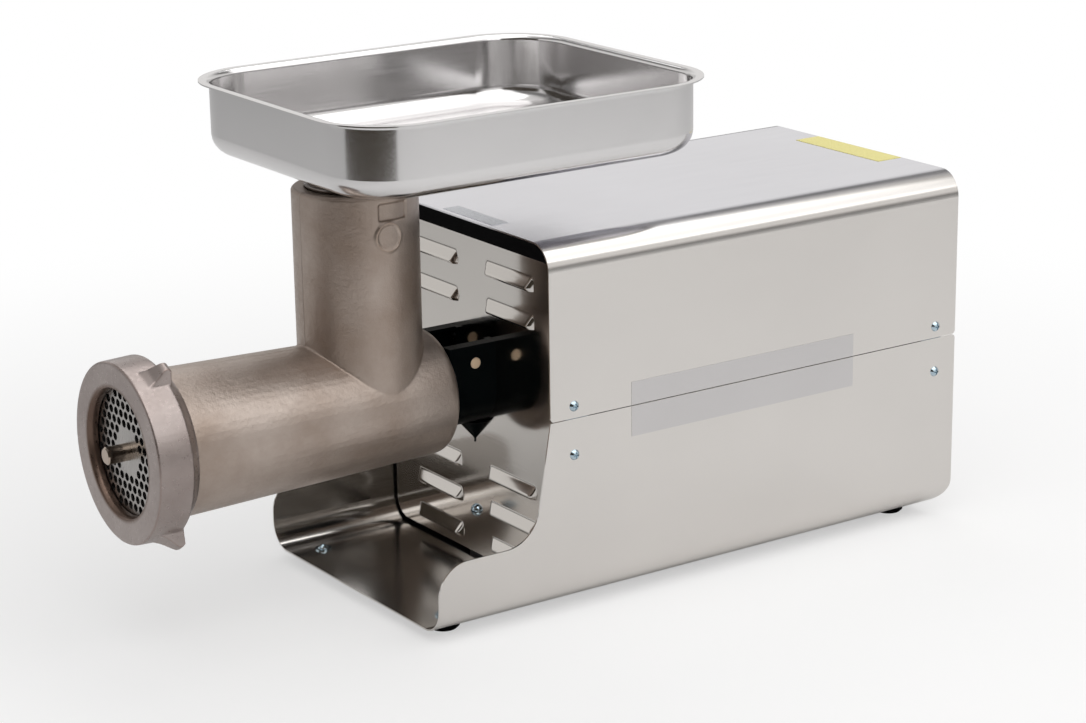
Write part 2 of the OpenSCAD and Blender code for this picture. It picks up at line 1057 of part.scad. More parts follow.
module neck_boss() {
    intersection() {
        translate([neck_x, 0, neck_top - boss_drop])
            rotate([90, 0, 0])
                difference() {
                    cylinder(r = boss_r, h = 2 * neck_r);
                    translate([0, 0, -over])
                        cylinder(r = boss_r - boss_rim, h = 2 * neck_r + 2 * over);
                }
        translate([neck_x, 0, axis_z])
            cylinder(r = neck_r + boss_rise, h = neck_height);
    }
}

// a shallow curved recess beside the neck's rim
module neck_recess() {
    intersection() {
        translate([neck_x + recess_shift, -neck_r, neck_top - recess_drop])
            cube([recess_w, neck_r, recess_h], center = true);
        translate([neck_x, 0, axis_z])
            difference() {
                cylinder(r = neck_r + over, h = neck_height);
                translate([0, 0, -over])
                    cylinder(r = neck_r - recess_depth, h = neck_height + 2 * over);
            }
    }
}

module barrel() {
    color(cast)
        difference() {
            union() {
                on_axis()
                    rotate([0, 90, 0])
                        rotate_extrude()
                            barrel_profile();
                translate([neck_x, 0, axis_z])
                    cylinder(r = neck_r, h = neck_height - neck_edge);
                translate([neck_x, 0, neck_top - neck_edge])
                    cylinder(r1 = neck_r, r2 = neck_r - neck_edge, h = neck_edge);
                neck_boss();
            }
            on_axis() {
                rod_x(chamber_x, cavity_x, barrel_bore_r);
                rod_x(barrel_front_x - over, chamber_x, chamber_r);
                rod_x(cavity_x - over, barrel_rear_x + over, bush_r + hold_fit);
                translate([0, 0, -chamber_r])
                    rod_x(barrel_front_x - over, chamber_x - key_end_gap, key_r + hold_fit);
            }
            four_round(barrel_rear_x - barrel_thread, tube_bolt_ring)
                cylinder(r = m5 + hold_fit, h = barrel_thread + over);
            translate([neck_x, 0, axis_z])
                cylinder(r = throat_r, h = neck_height + over);
            neck_recess();
        }
}

module barrel_bush() {
    color(bronze)
        on_axis()
            tube_x(cavity_x, barrel_rear_x, bush_r, journal_r + run_fit);
}

module thrust_washer() {
    color("#e4e0d2")
        on_axis()
            tube_x(washer_x, washer_x + thrust_t, core_r + washer_rim, journal_r + run_fit);
}

// end view of the flight: one blade that sweeps round the core
module flight_section() {
    sweep = 360 * flight_t / flight_pitch;
    steps = 5;
    turns = [for (i = [0 : steps]) i * sweep / steps];
    polygon(concat(
        [for (a = turns) flight_r * [cos(a), sin(a)]],
        [for (a = turns) (core_r - over) * [cos(sweep - a), sin(sweep - a)]]
    ));
}

module auger() {
    length = auger_back_x - auger_front_x;
    color("#b9b6b0")
        on_axis() {
            rod_x(auger_front_x, auger_back_x, core_r);
            translate([auger_front_x, 0, 0])
                rotate([0, 90, 0])
                    linear_extrude(
                        length,
                        twist = -360 * length / flight_pitch,
                        slices = flight_slices,
                        segments = flight_edges
                    )
                        flight_section();
            translate([knife_x, -tang / 2, -tang / 2])
                cube([auger_front_x - knife_x + over, tang, tang]);
            rod_x(pin_end_x + pin_edge, knife_x + over, pin_r);
            translate([pin_end_x, 0, 0])
                rotate([0, 90, 0])
                    cylinder(r1 = pin_r - pin_edge, r2 = pin_r, h = pin_edge);
            rod_x(auger_back_x - over, journal_end_x, journal_r);
            translate([journal_end_x - over, 0, 0])
                rotate([0, 90, 0])
                    cylinder(r = hex_tang / 2 / cos(30), h = hex_end_x - journal_end_x, $fn = 6);
        }
}

module knife() {
    color(steel)
        on_axis()
            difference() {
                slab_x(knife_x, knife_x + knife_t)
                    union() {
                        circle(blade_w + knife_hub_rim);
                        for (turn = [0 : 90 : 270])
                            rotate(turn)
                                polygon([
                                    [0, -blade_w / 2],
                                    [knife_r - blade_trim, -blade_w / 2],
                                    [knife_r - blade_trim, 0],
                                    [core_r + blade_root, blade_w / 2],
                                    [0, blade_w / 2]
                                ]);
                    }
                translate([knife_x - over, -tang / 2 - run_fit, -tang / 2 - run_fit])
                    cube([knife_t + 2 * over, tang + 2 * run_fit, tang + 2 * run_fit]);
            }
}

// centres of the plate's holes, in rows that step by half a pitch
function plate_holes() =
    let (rows = ceil(plate_r / (plate_pitch * sin(60))), edge = plate_r - plate_hole / 2 - plate_margin)
    [for (row = [-rows : rows])
        for (col = [-rows : rows])
            let (
                y = (col + (row % 2 == 0 ? 0 : 0.5)) * plate_pitch,
                z = row * plate_pitch * sin(60)
            )
            if (norm([y, z]) < edge && norm([y, z]) > plate_hub_r) [y, z]];

module hole_plate() {
    color(dark_steel)
        on_axis()
            slab_x(plate_x, plate_x + plate_t)
                difference() {
                    circle(plate_r);
                    circle(pin_r + run_fit);
                    translate([0, -chamber_r])
                        circle(key_r + free_gap);
                    for (place = plate_holes())
                        translate(place)
                            circle(plate_hole / 2, $fn = 24);
                }
}

module plate_key() {
    color(steel)
        translate([0, 0, axis_z - chamber_r])
            rod_x(barrel_front_x, chamber_x - key_end_gap, key_r);
}

// half section of the ring nut: radius, then distance behind the ring's face
module ring_profile() {
    polygon([
        [ring_hole_r + mouth_edge, 0],
        [ring_r - face_edge, 0],
        [ring_r - face_edge / 2, face_edge / 2],
        [ring_r, ring_band - band_edge],
        [ring_r - band_edge / 2, ring_band - band_edge / 2],
        [ring_r - band_edge, ring_band],
        [ring_bore_r + heel, ring_length - heel_length],
        [ring_bore_r + heel, ring_length],
        [ring_bore_r + heel_length, ring_length],
        [ring_bore_r, ring_length - heel_length],
        [ring_bore_r, ring_lip - free_gap],
        [ring_hole_r, ring_lip - free_gap],
        [ring_hole_r, mouth_depth]
    ]);
}

module ring_lug() {
    inner = ring_r - 2 * band_edge;
    intersection() {
        slab_x(0, lug_length)
            polygon([[-lug_root, inner], [-lug_tip, lug_r], [lug_tip, lug_r], [lug_root, inner]]);
        slab_y(2 * lug_root)
            polygon([
                [0, inner],
                [0, ring_r - face_edge],
                [(lug_length - lug_crest) / 2, ring_r + lug_swell],
                [lug_length - lug_crest, lug_r - face_edge],
                [lug_length - lug_crest / 2, lug_r + over],
                [lug_length, lug_r - face_edge],
                [lug_length, inner]
            ]);
    }
}

module ring_nut() {
    color(cast)
        on_axis() {
            translate([ring_face_x, 0, 0])
                rotate([0, 90, 0])
                    rotate_extrude()
                        ring_profile();
            for (turn = lug_angles)
                translate([ring_face_x + lug_front, 0, 0])
                    rotate([90 - turn, 0, 0])
                        ring_lug();
        }
}

// ---- feed pan ----

module quarter_ring(r_out, r_in) {
    difference() {
        intersection() {
            circle(r_out);
            square(r_out);
        }
        circle(r_in);
    }
}

// section of floor edge, wall and rim, measured from the centre of a rim corner
module pan_section() {
    inner = pan_wall_r - pan_floor_r;
    square([inner, pan_t]);
    translate([inner, pan_floor_r])
        mirror([0, 1])
            quarter_ring(pan_floor_r, pan_floor_r - pan_t);
    translate([pan_wall_r - pan_t, pan_floor_r])
        square([pan_t, pan_height - pan_floor_r - rim_bend]);
    translate([pan_wall_r - pan_t + rim_bend, pan_height - rim_bend])
        mirror([1, 0])
            quarter_ring(rim_bend, rim_bend - pan_t);
    translate([pan_wall_r - pan_t + rim_bend, pan_height - pan_t])
        square([pan_flange + pan_t - rim_bend, pan_t]);
}

module pan_shell() {
    for (turn = [0 : 90 : 270]) {
        half_x = (turn % 180 == 0) ? pan_cx : pan_cy;
        half_y = (turn % 180 == 0) ? pan_cy : pan_cx;
        rotate([0, 0, turn]) {
            translate([half_x, half_y, 0])
                rotate_extrude(angle = 90)
                    pan_section();
            translate([half_x, half_y, 0])
                rotate([90, 0, 0])
                    linear_extrude(2 * half_y)
                        pan_section();
        }
    }
    translate([-pan_cx, -pan_cy, 0])
        cube([2 * pan_cx, 2 * pan_cy, pan_t]);
}

module feed_pan() {
    color(steel) {
        difference() {
            translate([pan_x, 0, pan_floor_z])
                pan_shell();
            translate([neck_x, 0, pan_floor_z - over])
                cylinder(r = spout_r + spout_bend, h = pan_t + 2 * over);
        }
        translate([neck_x, 0, 0])
            rotate_extrude() {
                translate([spout_r + spout_bend, pan_floor_z - spout_bend])
                    mirror([1, 0])
                        quarter_ring(spout_bend + pan_t, spout_bend);
                translate([spout_r - pan_t, neck_top - spout_depth])
                    square([pan_t, spout_depth + pan_lift - spout_bend]);
                translate([spout_r, neck_top + bead_r + free_gap])
                    circle(bead_r);
            }
    }
}

// ---- drip guard and coupling ----

module guard_outline() {
    circle(guard_r);
    translate([-guard_r, 0])
        square([2 * guard_r, guard_rise]);
}

// the space inside the guard, with its narrower opening between the lips
module guard_inside() {
    circle(guard_r - guard_t);
    translate([guard_t - guard_r, 0])
        square([2 * (guard_r - guard_t), guard_rise - guard_t]);
    translate([guard_lip - guard_r, 0])
        square([2 * (guard_r - guard_lip), guard_rise + over]);
}

module drip_guard() {
    color(black)
        difference() {
            on_axis() {
                slab_x(guard_front_x, guard_back_x)
                    difference() {
                        guard_outline();
                        guard_inside();
                    }
                slab_x(guard_back_x - guard_t, guard_back_x)
                    difference() {
                        guard_outline();
                        circle(guard_slot);
                        translate([-guard_slot, 0])
                            square([2 * guard_slot, guard_rise + over]);
                    }
                intersection() {
                    translate([guard_back_x, 0, -drip_depth]) {
                        cylinder(r = drip_tip_r, h = drip_nib);
                        translate([0, 0, drip_nib - over])
                            cylinder(r1 = drip_tip_r, r2 = drip_r, h = drip_drop - drip_nib + 2 * over);
                    }
                    translate([guard_back_x - drip_r, -drip_r, -drip_depth])
                        cube([drip_r, 2 * drip_r, drip_depth]);
                }
            }
            cross_hole(guard_hole_x, axis_z + guard_hole_rise, guard_hole_r);
            for (side = [-1, 1])
                translate([0, side * guard_screw_y, axis_z + guard_screw_rise])
                    rod_x(guard_back_x - 2 * guard_t, guard_back_x + over, m4_hole);
        }
}

module guard_screws() {
    color(black)
        for (side = [-1, 1])
            face_front(guard_back_x - guard_t, side * guard_screw_y, axis_z + guard_screw_rise)
                pan_screw(m4, guard_t + sheet + guard_screw_out, m4_head, m4_head_h);
}

// four places round the axis, each with its local +Z along +X
module four_round(x, r) {
    for (turn = [45 : 90 : 315])
        on_axis()
            rotate([turn, 0, 0])
                translate([x, 0, r])
                    rotate([0, 90, 0])
                        children();
}

module coupling_tube() {
    color("#d8c7a4")
        difference() {
            on_axis()
                difference() {
                    union() {
                        rod_x(barrel_rear_x, barrel_rear_x + tube_flange_t, tube_flange_r);
                        rod_x(barrel_rear_x, cover_x, tube_r);
                        rod_x(tube_back_x, cover_x, tube_back_r);
                    }
                    rod_x(barrel_rear_x - over, cover_x + over, tube_bore_r);
                }
            four_round(barrel_rear_x, tube_bolt_ring)
                cylinder(r = m5 + hold_fit, h = 3 * tube_flange_t, center = true);
            four_round(tube_back_x, back_bolt_ring)
                cylinder(r = m6 + hold_fit, h = 3 * tube_flange_t, center = true);
        }
}

module coupling_bolts() {
    color(zinc) {
        four_round(barrel_rear_x + tube_flange_t, tube_bolt_ring)
            hex_bolt(m5, tube_flange_t + barrel_thread - over, m5_head, m5_head_h);
        four_round(tube_back_x, back_bolt_ring)
            mirror([0, 0, 1])
                hex_bolt(m6, back_bolt_l, m6_head, m6_head_h);
    }
}

// ---- gears ----

function involute(a) = tan(a) * 180 / PI - a;

// half the tooth's angle at radius r
function tooth_half(r, pitch_r, teeth) =
    let (base_r = pitch_r * cos(pressure), at = max(r, base_r))
    90 / teeth - tooth_thin / pitch_r * 90 / PI + involute(pressure) - involute(acos(base_r / at));

// outline of a spur gear with its first tooth on the +X side
function gear_points(teeth, mod, tip_r, root_r) =
    let (
        pitch_r = teeth * mod / 2,
        base_r = max(root_r, pitch_r * cos(pressure)),
        steps = 4,
        radii = concat([root_r], [for (i = [0 : steps]) base_r + (tip_r - base_r) * i / steps])
    )
    [for (tooth = [0 : teeth - 1])
        for (flank = [-1, 1])
            for (i = [0 : len(radii) - 1])
                let (
                    r = radii[flank < 0 ? i : len(radii) - 1 - i],
                    a = tooth * 360 / teeth + flank * tooth_half(r, pitch_r, teeth)
                )
                [r * cos(a), r * sin(a)]];

module spur_gear(x, teeth, mod, face, addendum, bore, turn) {
    pitch_r = teeth * mod / 2;
    slab_x(x, x + face)
        difference() {
            rotate(turn)
                polygon(gear_points(teeth, mod, pitch_r + addendum * mod, pitch_r - tooth_root * mod));
            if (bore > 0)
                circle(bore);
        }
}

// ---- gearbox ----

module box_outline(r) {
    circle(r);
    translate([0, -shaft_gap])
        circle(r);
    translate([-r, -shaft_gap])
        square([2 * r, shaft_gap]);
}

// bolts round the gearbox, as places in Y and Z below the axis
function box_bolts() =
    let (out = box_r + box_bolt_out)
    [for (side = [-1, 1])
        for (place = [[0, 0], [0, -shaft_gap / 2], [0, -shaft_gap]])
            [side * out, place[1]]];

module box_lugs() {
    for (place = box_bolts())
        translate(place)
            circle(box_lug_r);
    translate([-box_r - box_bolt_out, -shaft_gap - box_lug_r])
        square([2 * (box_r + box_bolt_out), shaft_gap + 2 * box_lug_r]);
}

module gearbox_housing() {
    bolt_h = 4 * foot_plate_t;
    color(alloy)
        difference() {
            union() {
                on_axis() {
                    slab_x(housing_x, motor_x)
                        box_outline(box_r);
                    slab_x(housing_x, housing_x + lug_t)
                        box_lugs();
                }
                translate([housing_x, -foot_plate_w / 2, floor_z])
                    cube([motor_x - housing_x, foot_plate_w, foot_plate_t]);
                translate([housing_x, -box_r + box_wall, floor_z])
                    cube([motor_x - housing_x, 2 * (box_r - box_wall), lay_z - floor_z - box_r / 2]);
            }
            on_axis() {
                slab_x(housing_x - over, wall_x)
                    box_outline(box_r - box_wall);
                rod_x(wall_x - over, motor_x + over, spigot_r + hold_fit);
                for (place = box_bolts())
                    translate([0, place[0], place[1]])
                        rod_x(housing_x - over, housing_x + lug_t + over, m6 + hold_fit);
            }
            on_layshaft()
                rod_x(wall_x - over, wall_x + lay_bearing_t, lay_bearing_r + hold_fit);
            base_bolt_places()
                cylinder(r = m6 + free_gap, h = bolt_h, center = true);
            four_round(wall_x + motor_bolt_start, motor_bolt_ring)
                cylinder(r = m5 + hold_fit, h = wall_t);
        }
}

module gearbox_cover() {
    boss_back = bearing_x + bearing_t;
    color(alloy)
        difference() {
            union() {
                on_axis() {
                    slab_x(cover_x, housing_x) {
                        box_outline(box_r);
                        box_lugs();
                    }
                    rod_x(cover_x, boss_back, bearing_r + boss_wall);
                }
                on_layshaft()
                    rod_x(cover_x, housing_x + lay_bearing_t, lay_bearing_r + boss_wall);
            }
            on_axis() {
                rod_x(cover_x - over, bearing_x, seal_r + hold_fit);
                rod_x(bearing_x, boss_back + over, bearing_r + hold_fit);
                for (place = box_bolts())
                    translate([0, place[0], place[1]])
                        rod_x(cover_x - over, housing_x + over, m6 + hold_fit);
            }
            on_layshaft()
                rod_x(housing_x, housing_x + lay_bearing_t + over, lay_bearing_r + hold_fit);
            four_round(tube_back_x, back_bolt_ring)
                cylinder(r = m6 + hold_fit, h = back_bolt_l + free_gap);
        }
}

module gearbox_bolts() {
    color(zinc) {
        on_axis()
            for (place = box_bolts())
                translate([cover_x, place[0], place[1]])
                    rotate([0, -90, 0])
                        hex_bolt(m6, cover_t + lug_t - over, m6_head, m6_head_h);
    }
}

module bearing_bridge() {
    color(alloy)
        on_axis()
            slab_x(bridge_x, bridge_x + bridge_t)
                difference() {
                    box_outline(box_r - box_wall - hold_fit);
                    circle(bridge_bearing_r + hold_fit);
                    translate([0, -shaft_gap])
                        circle(lay_r + bridge_rim);
                }
}

module oil_seal() {
    color(black)
        on_axis()
            tube_x(cover_x, cover_x + seal_t, seal_r, shaft_r + run_fit);
}

module output_shaft() {
    color(dark_steel)
        on_axis()
            difference() {
                union() {
                    rod_x(shaft_front_x, bridge_x, shaft_r);
                    rod_x(bridge_x - over, bridge_x + bridge_t, rear_journal_r);
                    tube_x(out_gear_x - collar_l, out_gear_x, shaft_r + collar_rim, shaft_r - over);
                }
                translate([shaft_front_x - over, 0, 0])
                    rotate([0, 90, 0])
                        cylinder(
                            r = (hex_tang / 2 + run_fit) / cos(30),
                            h = hex_end_x - shaft_front_x + 2 * over,
                            $fn = 6
                        );
            }
}

module output_gear() {
    color(dark_steel)
        on_axis()
            spur_gear(out_gear_x, teeth_out, module_2, face_2, short_addendum,
                shaft_r + hold_fit, -90 + 180 / teeth_out);
}

module output_bearings() {
    color(zinc)
        on_axis() {
            tube_x(bearing_x, bearing_x + bearing_t, bearing_r, shaft_r + run_fit);
            tube_x(bridge_x, bridge_x + bridge_t, bridge_bearing_r, rear_journal_r + run_fit);
        }
}

module layshaft() {
    back_x = wall_x + lay_bearing_t;
    color(dark_steel)
        on_layshaft() {
            rod_x(housing_x, back_x, lay_bearing_bore);
            rod_x(housing_x + lay_bearing_t + lay_play, wall_x - lay_play, lay_r);
            spur_gear(out_gear_x - face_over, teeth_lay_pinion, module_2, face_2 + 2 * face_over,
                1, 0, 90);
        }
}

module layshaft_gear() {
    color(dark_steel)
        on_layshaft()
            spur_gear(lay_gear_x, teeth_lay, module_1, face_1, short_addendum,
                lay_r + hold_fit, 90 + 180 / teeth_lay);
}

module layshaft_bearings() {
    color(zinc)
        on_layshaft() {
            tube_x(housing_x, housing_x + lay_bearing_t, lay_bearing_r, lay_bearing_bore + run_fit);
            tube_x(wall_x, wall_x + lay_bearing_t, lay_bearing_r, lay_bearing_bore + run_fit);
        }
}

// ---- motor ----

module motor_pinion() {
    color(dark_steel)
        on_axis()
            spur_gear(lay_gear_x - face_over, teeth_motor, module_1, face_1 + 2 * face_over, 1,
                motor_journal + hold_fit, -90);
}

module motor_shaft() {
    color(steel)
        on_axis() {
            rod_x(lay_gear_x - face_over, fan_x + fan_t, motor_journal);
            rod_x(motor_core_x + core_in - rotor_step,
                motor_core_x + core_in + core_length + rotor_step, rotor_shaft_r);
        }
}

module motor_rotor() {
    color(dark_steel)
        on_axis()
            tube_x(motor_core_x + core_in, motor_core_x + core_in + core_length,
                rotor_r, rotor_shaft_r + hold_fit);
}

module motor_stator() {
    x1 = motor_core_x + core_in;
    x2 = x1 + core_length;
    color("#8a4a2a")
        on_axis() {
            tube_x(x1, x2, stator_r - hold_fit, stator_bore);
            tube_x(x1 - winding_l, x1, stator_r - winding_out, stator_bore + winding_in);
            tube_x(x2, x2 + winding_l, stator_r - winding_out, stator_bore + winding_in);
        }
}

module motor_housing() {
    color(alloy)
        on_axis()
            difference() {
                slab_x(motor_core_x, motor_end_x)
                    difference() {
                        union() {
                            circle(shell_r);
                            for (i = [0 : fins - 1])
                                rotate((i + 0.5) * 360 / fins)
                                    translate([shell_r - fin_root, -fin_t / 2])
                                        square([motor_r - shell_r + fin_root, fin_t]);
                        }
                        circle(stator_r);
                    }
                shield_screw_places(0)
                    translate([0, 0, -shield_thread])
                        cylinder(r = m5 + hold_fit, h = shield_thread + over);
            }
}

// screws at both ends of the shell, each with its local +Z away from the shell
module shield_screw_places(out) {
    for (turn = [45 : 90 : 315])
        for (end = [-1, 1])
            rotate([turn, 0, 0])
                translate([motor_core_x + motor_length / 2, 0, (shell_r + stator_r) / 2])
                    rotate([0, 90 * end, 0])
                        translate([0, 0, motor_length / 2 + out])
                            children();
}

module motor_shields() {
    color(alloy)
        on_axis()
            difference() {
                union() {
                    rod_x(motor_x, motor_core_x, shield_r);
                    rod_x(motor_x - spigot_l, motor_x + over, spigot_r);
                    rod_x(motor_end_x, motor_end_x + shield_t, shield_r);
                }
                rod_x(motor_x - spigot_l - over, motor_core_x + over, motor_journal + shield_bore_gap);
                rod_x(motor_x - spigot_l - over, motor_x - spigot_l + small_bearing_t,
                    small_bearing_r + hold_fit);
                rod_x(motor_end_x - over, motor_end_x + shield_t + over, small_bearing_r + hold_fit);
                shield_screw_places(shield_t - m5_cap_h) {
                    cylinder(r = m5_head + hold_fit, h = m5_cap_h + over);
                    translate([0, 0, -shield_t])
                        cylinder(r = m5 + hold_fit, h = 2 * shield_t);
                }
                translate([0, 0, -axis_z])
                    four_round(motor_x - over, motor_bolt_ring)
                        cylinder(r = m5 + hold_fit, h = shield_t + 2 * over);
            }
}

module shield_screws() {
    color(zinc) {
        on_axis()
            shield_screw_places(shield_t - m5_cap_h)
                cap_screw(m5, shield_t - m5_cap_h + shield_thread - over, m5_head, m5_cap_h);
        four_round(motor_core_x, motor_bolt_ring)
            hex_bolt(m5, motor_bolt_l, m5_head, m5_head_h);
    }
}

module motor_bearings() {
    color(zinc)
        on_axis() {
            tube_x(motor_x - spigot_l, motor_x - spigot_l + small_bearing_t,
                small_bearing_r, motor_journal + run_fit);
            tube_x(motor_end_x, motor_end_x + shield_t, small_bearing_r, motor_journal + run_fit);
        }
}

module motor_fan() {
    color("#3b3f44")
        on_axis() {
            tube_x(fan_x, fan_x + fan_t, fan_hub_r, motor_journal + hold_fit);
            tube_x(fan_x, fan_x + fan_blade_t, fan_r, fan_hub_r - over);
            for (i = [0 : fan_blades - 1])
                rotate([i * 360 / fan_blades, 0, 0])
                    translate([fan_x, -fan_blade_t / 2, fan_hub_r - over])
                        cube([fan_t, fan_blade_t, fan_r - fan_hub_r]);
        }
}

module fan_cowl() {
    color(black)
        on_axis()
            difference() {
                rod_x(motor_end_x + cowl_step, cowl_end_x, cowl_r);
                rod_x(motor_end_x, cowl_end_x - cowl_t, cowl_r - cowl_t);
                for (turn = [0 : 30 : 330])
                    for (r = cowl_rings)
                        rotate([turn, 0, 0])
                            translate([0, 0, r])
                                rod_x(cowl_end_x - 2 * cowl_t, cowl_end_x + over, cowl_vent_r);
            }
}

module motor_saddle() {
    color(alloy)
        difference() {
            union() {
                translate([saddle_x, -saddle_w / 2, floor_z])
                    cube([saddle_l, saddle_w, foot_plate_t]);
                translate([saddle_x, -saddle_block_w / 2, floor_z])
                    cube([saddle_l, saddle_block_w, axis_z - floor_z - saddle_block_w / 2]);
            }
            on_axis()
                rod_x(saddle_x - over, saddle_x + saddle_l + over,
                    norm([motor_r, fin_t / 2]) + hold_fit);
            base_bolt_places()
                cylinder(r = m6 + free_gap, h = 4 * foot_plate_t, center = true);
        }
}

module base_bolts() {
    grip = foot_plate_t + sheet;
    color(zinc)
        base_bolt_places() {
            hex_bolt(m6, grip + m6_nut_h, m6_head, m6_head_h);
            translate([0, 0, -grip - m6_nut_h])
                hex_nut(m6_head, m6 + hold_fit, m6_nut_h);
        }
}

module run_capacitor() {
    color("#c8cbc9")
        translate([capacitor_x, capacitor_y, floor_z]) {
            cylinder(r = capacitor_r, h = capacitor_h);
            for (side = [-1, 1])
                translate([side * capacitor_r / 3, 0, capacitor_h])
                    cube([over, tab_w, tab_h], center = true);
        }
}

// ---- switch ----

module button_places(side) {
    translate([rear_panel_x, switch_y, switch_z + side * button_gap / 2])
        children();
}

module switch_body() {
    color("#26292c")
        difference() {
            union() {
                translate([rear_panel_x - switch_depth, switch_y - switch_w / 2, switch_z - switch_h / 2])
                    cube([switch_depth + over, switch_w, switch_h]);
                translate([0, switch_y, switch_z])
                    slab_x(rear_panel_x, rear_panel_x + flange_t)
                        round_rect(flange_w, flange_h, flange_edge);
            }
            for (side = [-1, 1])
                button_places(side)
                    translate([-button_depth - button_travel - free_gap, 0, 0])
                        slab_x(0, 2 * (button_depth + button_travel))
                            round_rect(button_hole, button_hole, button_edge + free_gap);
        }
}

module push_button(side) {
    button_places(side)
        slab_x(-button_depth, flange_t + button_proud)
            round_rect(button_size, button_size, button_edge);
}

module start_button() {
    color("#1f9a4a")
        push_button(1);
}

module stop_button() {
    color("#c62a22")
        push_button(-1);
}

// ---- cable gland ----

module gland_axis() {
    translate([0, gland_y, gland_z])
        children();
}

module gland_body() {
    color("#34373a")
        gland_axis()
            difference() {
                union() {
                    rod_x(rear_panel_x - gland_in, gland_tube_x, gland_thread_r);
                    translate([rear_panel_x, 0, 0])
                        rotate([0, 90, 0])
                            cylinder(r = gland_hex, h = gland_hex_t, $fn = 6);
                }
                rod_x(rear_panel_x - gland_in - over, gland_tube_x + over, gland_bore_r + 2);
            }
}

module gland_locknut() {
    color("#34373a")
        gland_axis()
            translate([rear_panel_x - sheet - lock_nut_t, 0, 0])
                rotate([0, 90, 0])
                    hex_nut(gland_hex, gland_thread_r + hold_fit, lock_nut_t);
}

module gland_nut() {
    start = rear_panel_x + gland_hex_t + hold_fit;
    color("#34373a")
        gland_axis()
            difference() {
                union() {
                    rod_x(start, rear_panel_x + gland_out - gland_cone, gland_nut_r);
                    translate([rear_panel_x + gland_out - gland_cone, 0, 0])
                        rotate([0, 90, 0])
                            cylinder(r1 = gland_nut_r, r2 = gland_nut_r - gland_cone, h = gland_cone);
                }
                rod_x(start - over, gland_tube_x + free_gap, gland_thread_r + hold_fit);
                rod_x(start, rear_panel_x + gland_out + over, gland_bore_r);
            }
}

module gland_seal() {
    color(black)
        gland_axis()
            tube_x(gland_tube_x - gland_seal_l, gland_tube_x, gland_bore_r + 2 - hold_fit, cable_r);
}

bottom_tray();
top_cover();
front_panel();
rear_panel();
panel_seals();
side_brackets();
floor_brackets();
bracket_nuts();
cover_screws();
panel_screws();
rubber_feet();
foot_screws();
foot_washers();
foot_nuts();
side_foil();
top_foils();
barrel();
barrel_bush();
thrust_washer();
auger();
knife();
hole_plate();
plate_key();
ring_nut();
feed_pan();
drip_guard();
guard_screws();
coupling_tube();
coupling_bolts();
gearbox_housing();
gearbox_cover();
gearbox_bolts();
bearing_bridge();
oil_seal();
output_shaft();
output_gear();
output_bearings();
layshaft();
layshaft_gear();
layshaft_bearings();
motor_pinion();
motor_shaft();
motor_rotor();
motor_stator();
motor_housing();
motor_shields();
shield_screws();
motor_bearings();
motor_fan();
fan_cowl();
motor_saddle();
base_bolts();
run_capacitor();
switch_body();
start_button();
stop_button();
gland_body();
gland_locknut();
gland_nut();
gland_seal();
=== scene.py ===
# %% [markdown]
# # An electric meat grinder
# The machine arrives as a finished mechanical model, in metres, with every piece in its place.
# This lesson gives it its looks: sheet steel, a rough casting, black plastic and soft studio light.
# We load the model first.

# %% Load the mechanical model
import json
import math
import bmesh
import bpy
from mathutils import Matrix, Vector

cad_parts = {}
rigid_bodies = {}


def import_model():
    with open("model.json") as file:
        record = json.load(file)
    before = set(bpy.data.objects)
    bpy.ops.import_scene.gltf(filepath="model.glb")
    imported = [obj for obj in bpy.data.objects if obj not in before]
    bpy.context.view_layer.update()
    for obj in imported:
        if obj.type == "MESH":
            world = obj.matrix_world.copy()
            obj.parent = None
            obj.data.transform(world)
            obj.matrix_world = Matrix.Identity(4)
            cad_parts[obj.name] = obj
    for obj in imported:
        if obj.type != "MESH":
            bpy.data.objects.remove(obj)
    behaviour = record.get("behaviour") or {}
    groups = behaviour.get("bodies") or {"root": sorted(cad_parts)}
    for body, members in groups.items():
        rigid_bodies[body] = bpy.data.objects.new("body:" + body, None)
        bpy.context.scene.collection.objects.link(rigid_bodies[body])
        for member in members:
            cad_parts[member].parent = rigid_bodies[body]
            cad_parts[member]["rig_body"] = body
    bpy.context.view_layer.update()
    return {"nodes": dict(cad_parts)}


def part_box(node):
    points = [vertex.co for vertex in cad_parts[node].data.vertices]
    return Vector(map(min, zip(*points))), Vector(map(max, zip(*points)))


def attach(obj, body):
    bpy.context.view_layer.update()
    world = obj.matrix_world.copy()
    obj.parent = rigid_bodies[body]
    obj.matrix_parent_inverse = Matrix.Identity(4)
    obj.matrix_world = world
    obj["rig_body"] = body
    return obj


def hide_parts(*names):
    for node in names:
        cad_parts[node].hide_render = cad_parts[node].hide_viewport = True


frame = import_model()
nodes = frame["nodes"]
mm = 0.001
axis_height = 154 * mm

# %% [markdown]
# ## The camera
# The camera stands some way back and has a long lens, so that parallel edges stay nearly
# parallel. We place the camera by its compass angle, its height angle and a small roll,
# and build its three axes from them, which is easier to reason about than three Euler angles.

# %% Camera
image_width_px = 1086
focal_px = 2845.114
sensor_mm = 36.0
camera_azimuth = math.radians(-34.208)
camera_elevation = math.radians(16.518)
camera_roll = math.radians(-0.852)
camera_place = Vector((-1169.1, -1755.8, 786.2)) * mm


def camera_axes(azimuth, elevation, roll):
    back = Vector((math.sin(azimuth) * math.cos(elevation),
                   -math.cos(azimuth) * math.cos(elevation),
                   math.sin(elevation)))
    right = (-back).cross(Vector((0, 0, 1))).normalized()
    up = right.cross(-back)
    turned_right = right * math.cos(roll) + up * math.sin(roll)
    turned_up = up * math.cos(roll) - right * math.sin(roll)
    return turned_right, turned_up, back


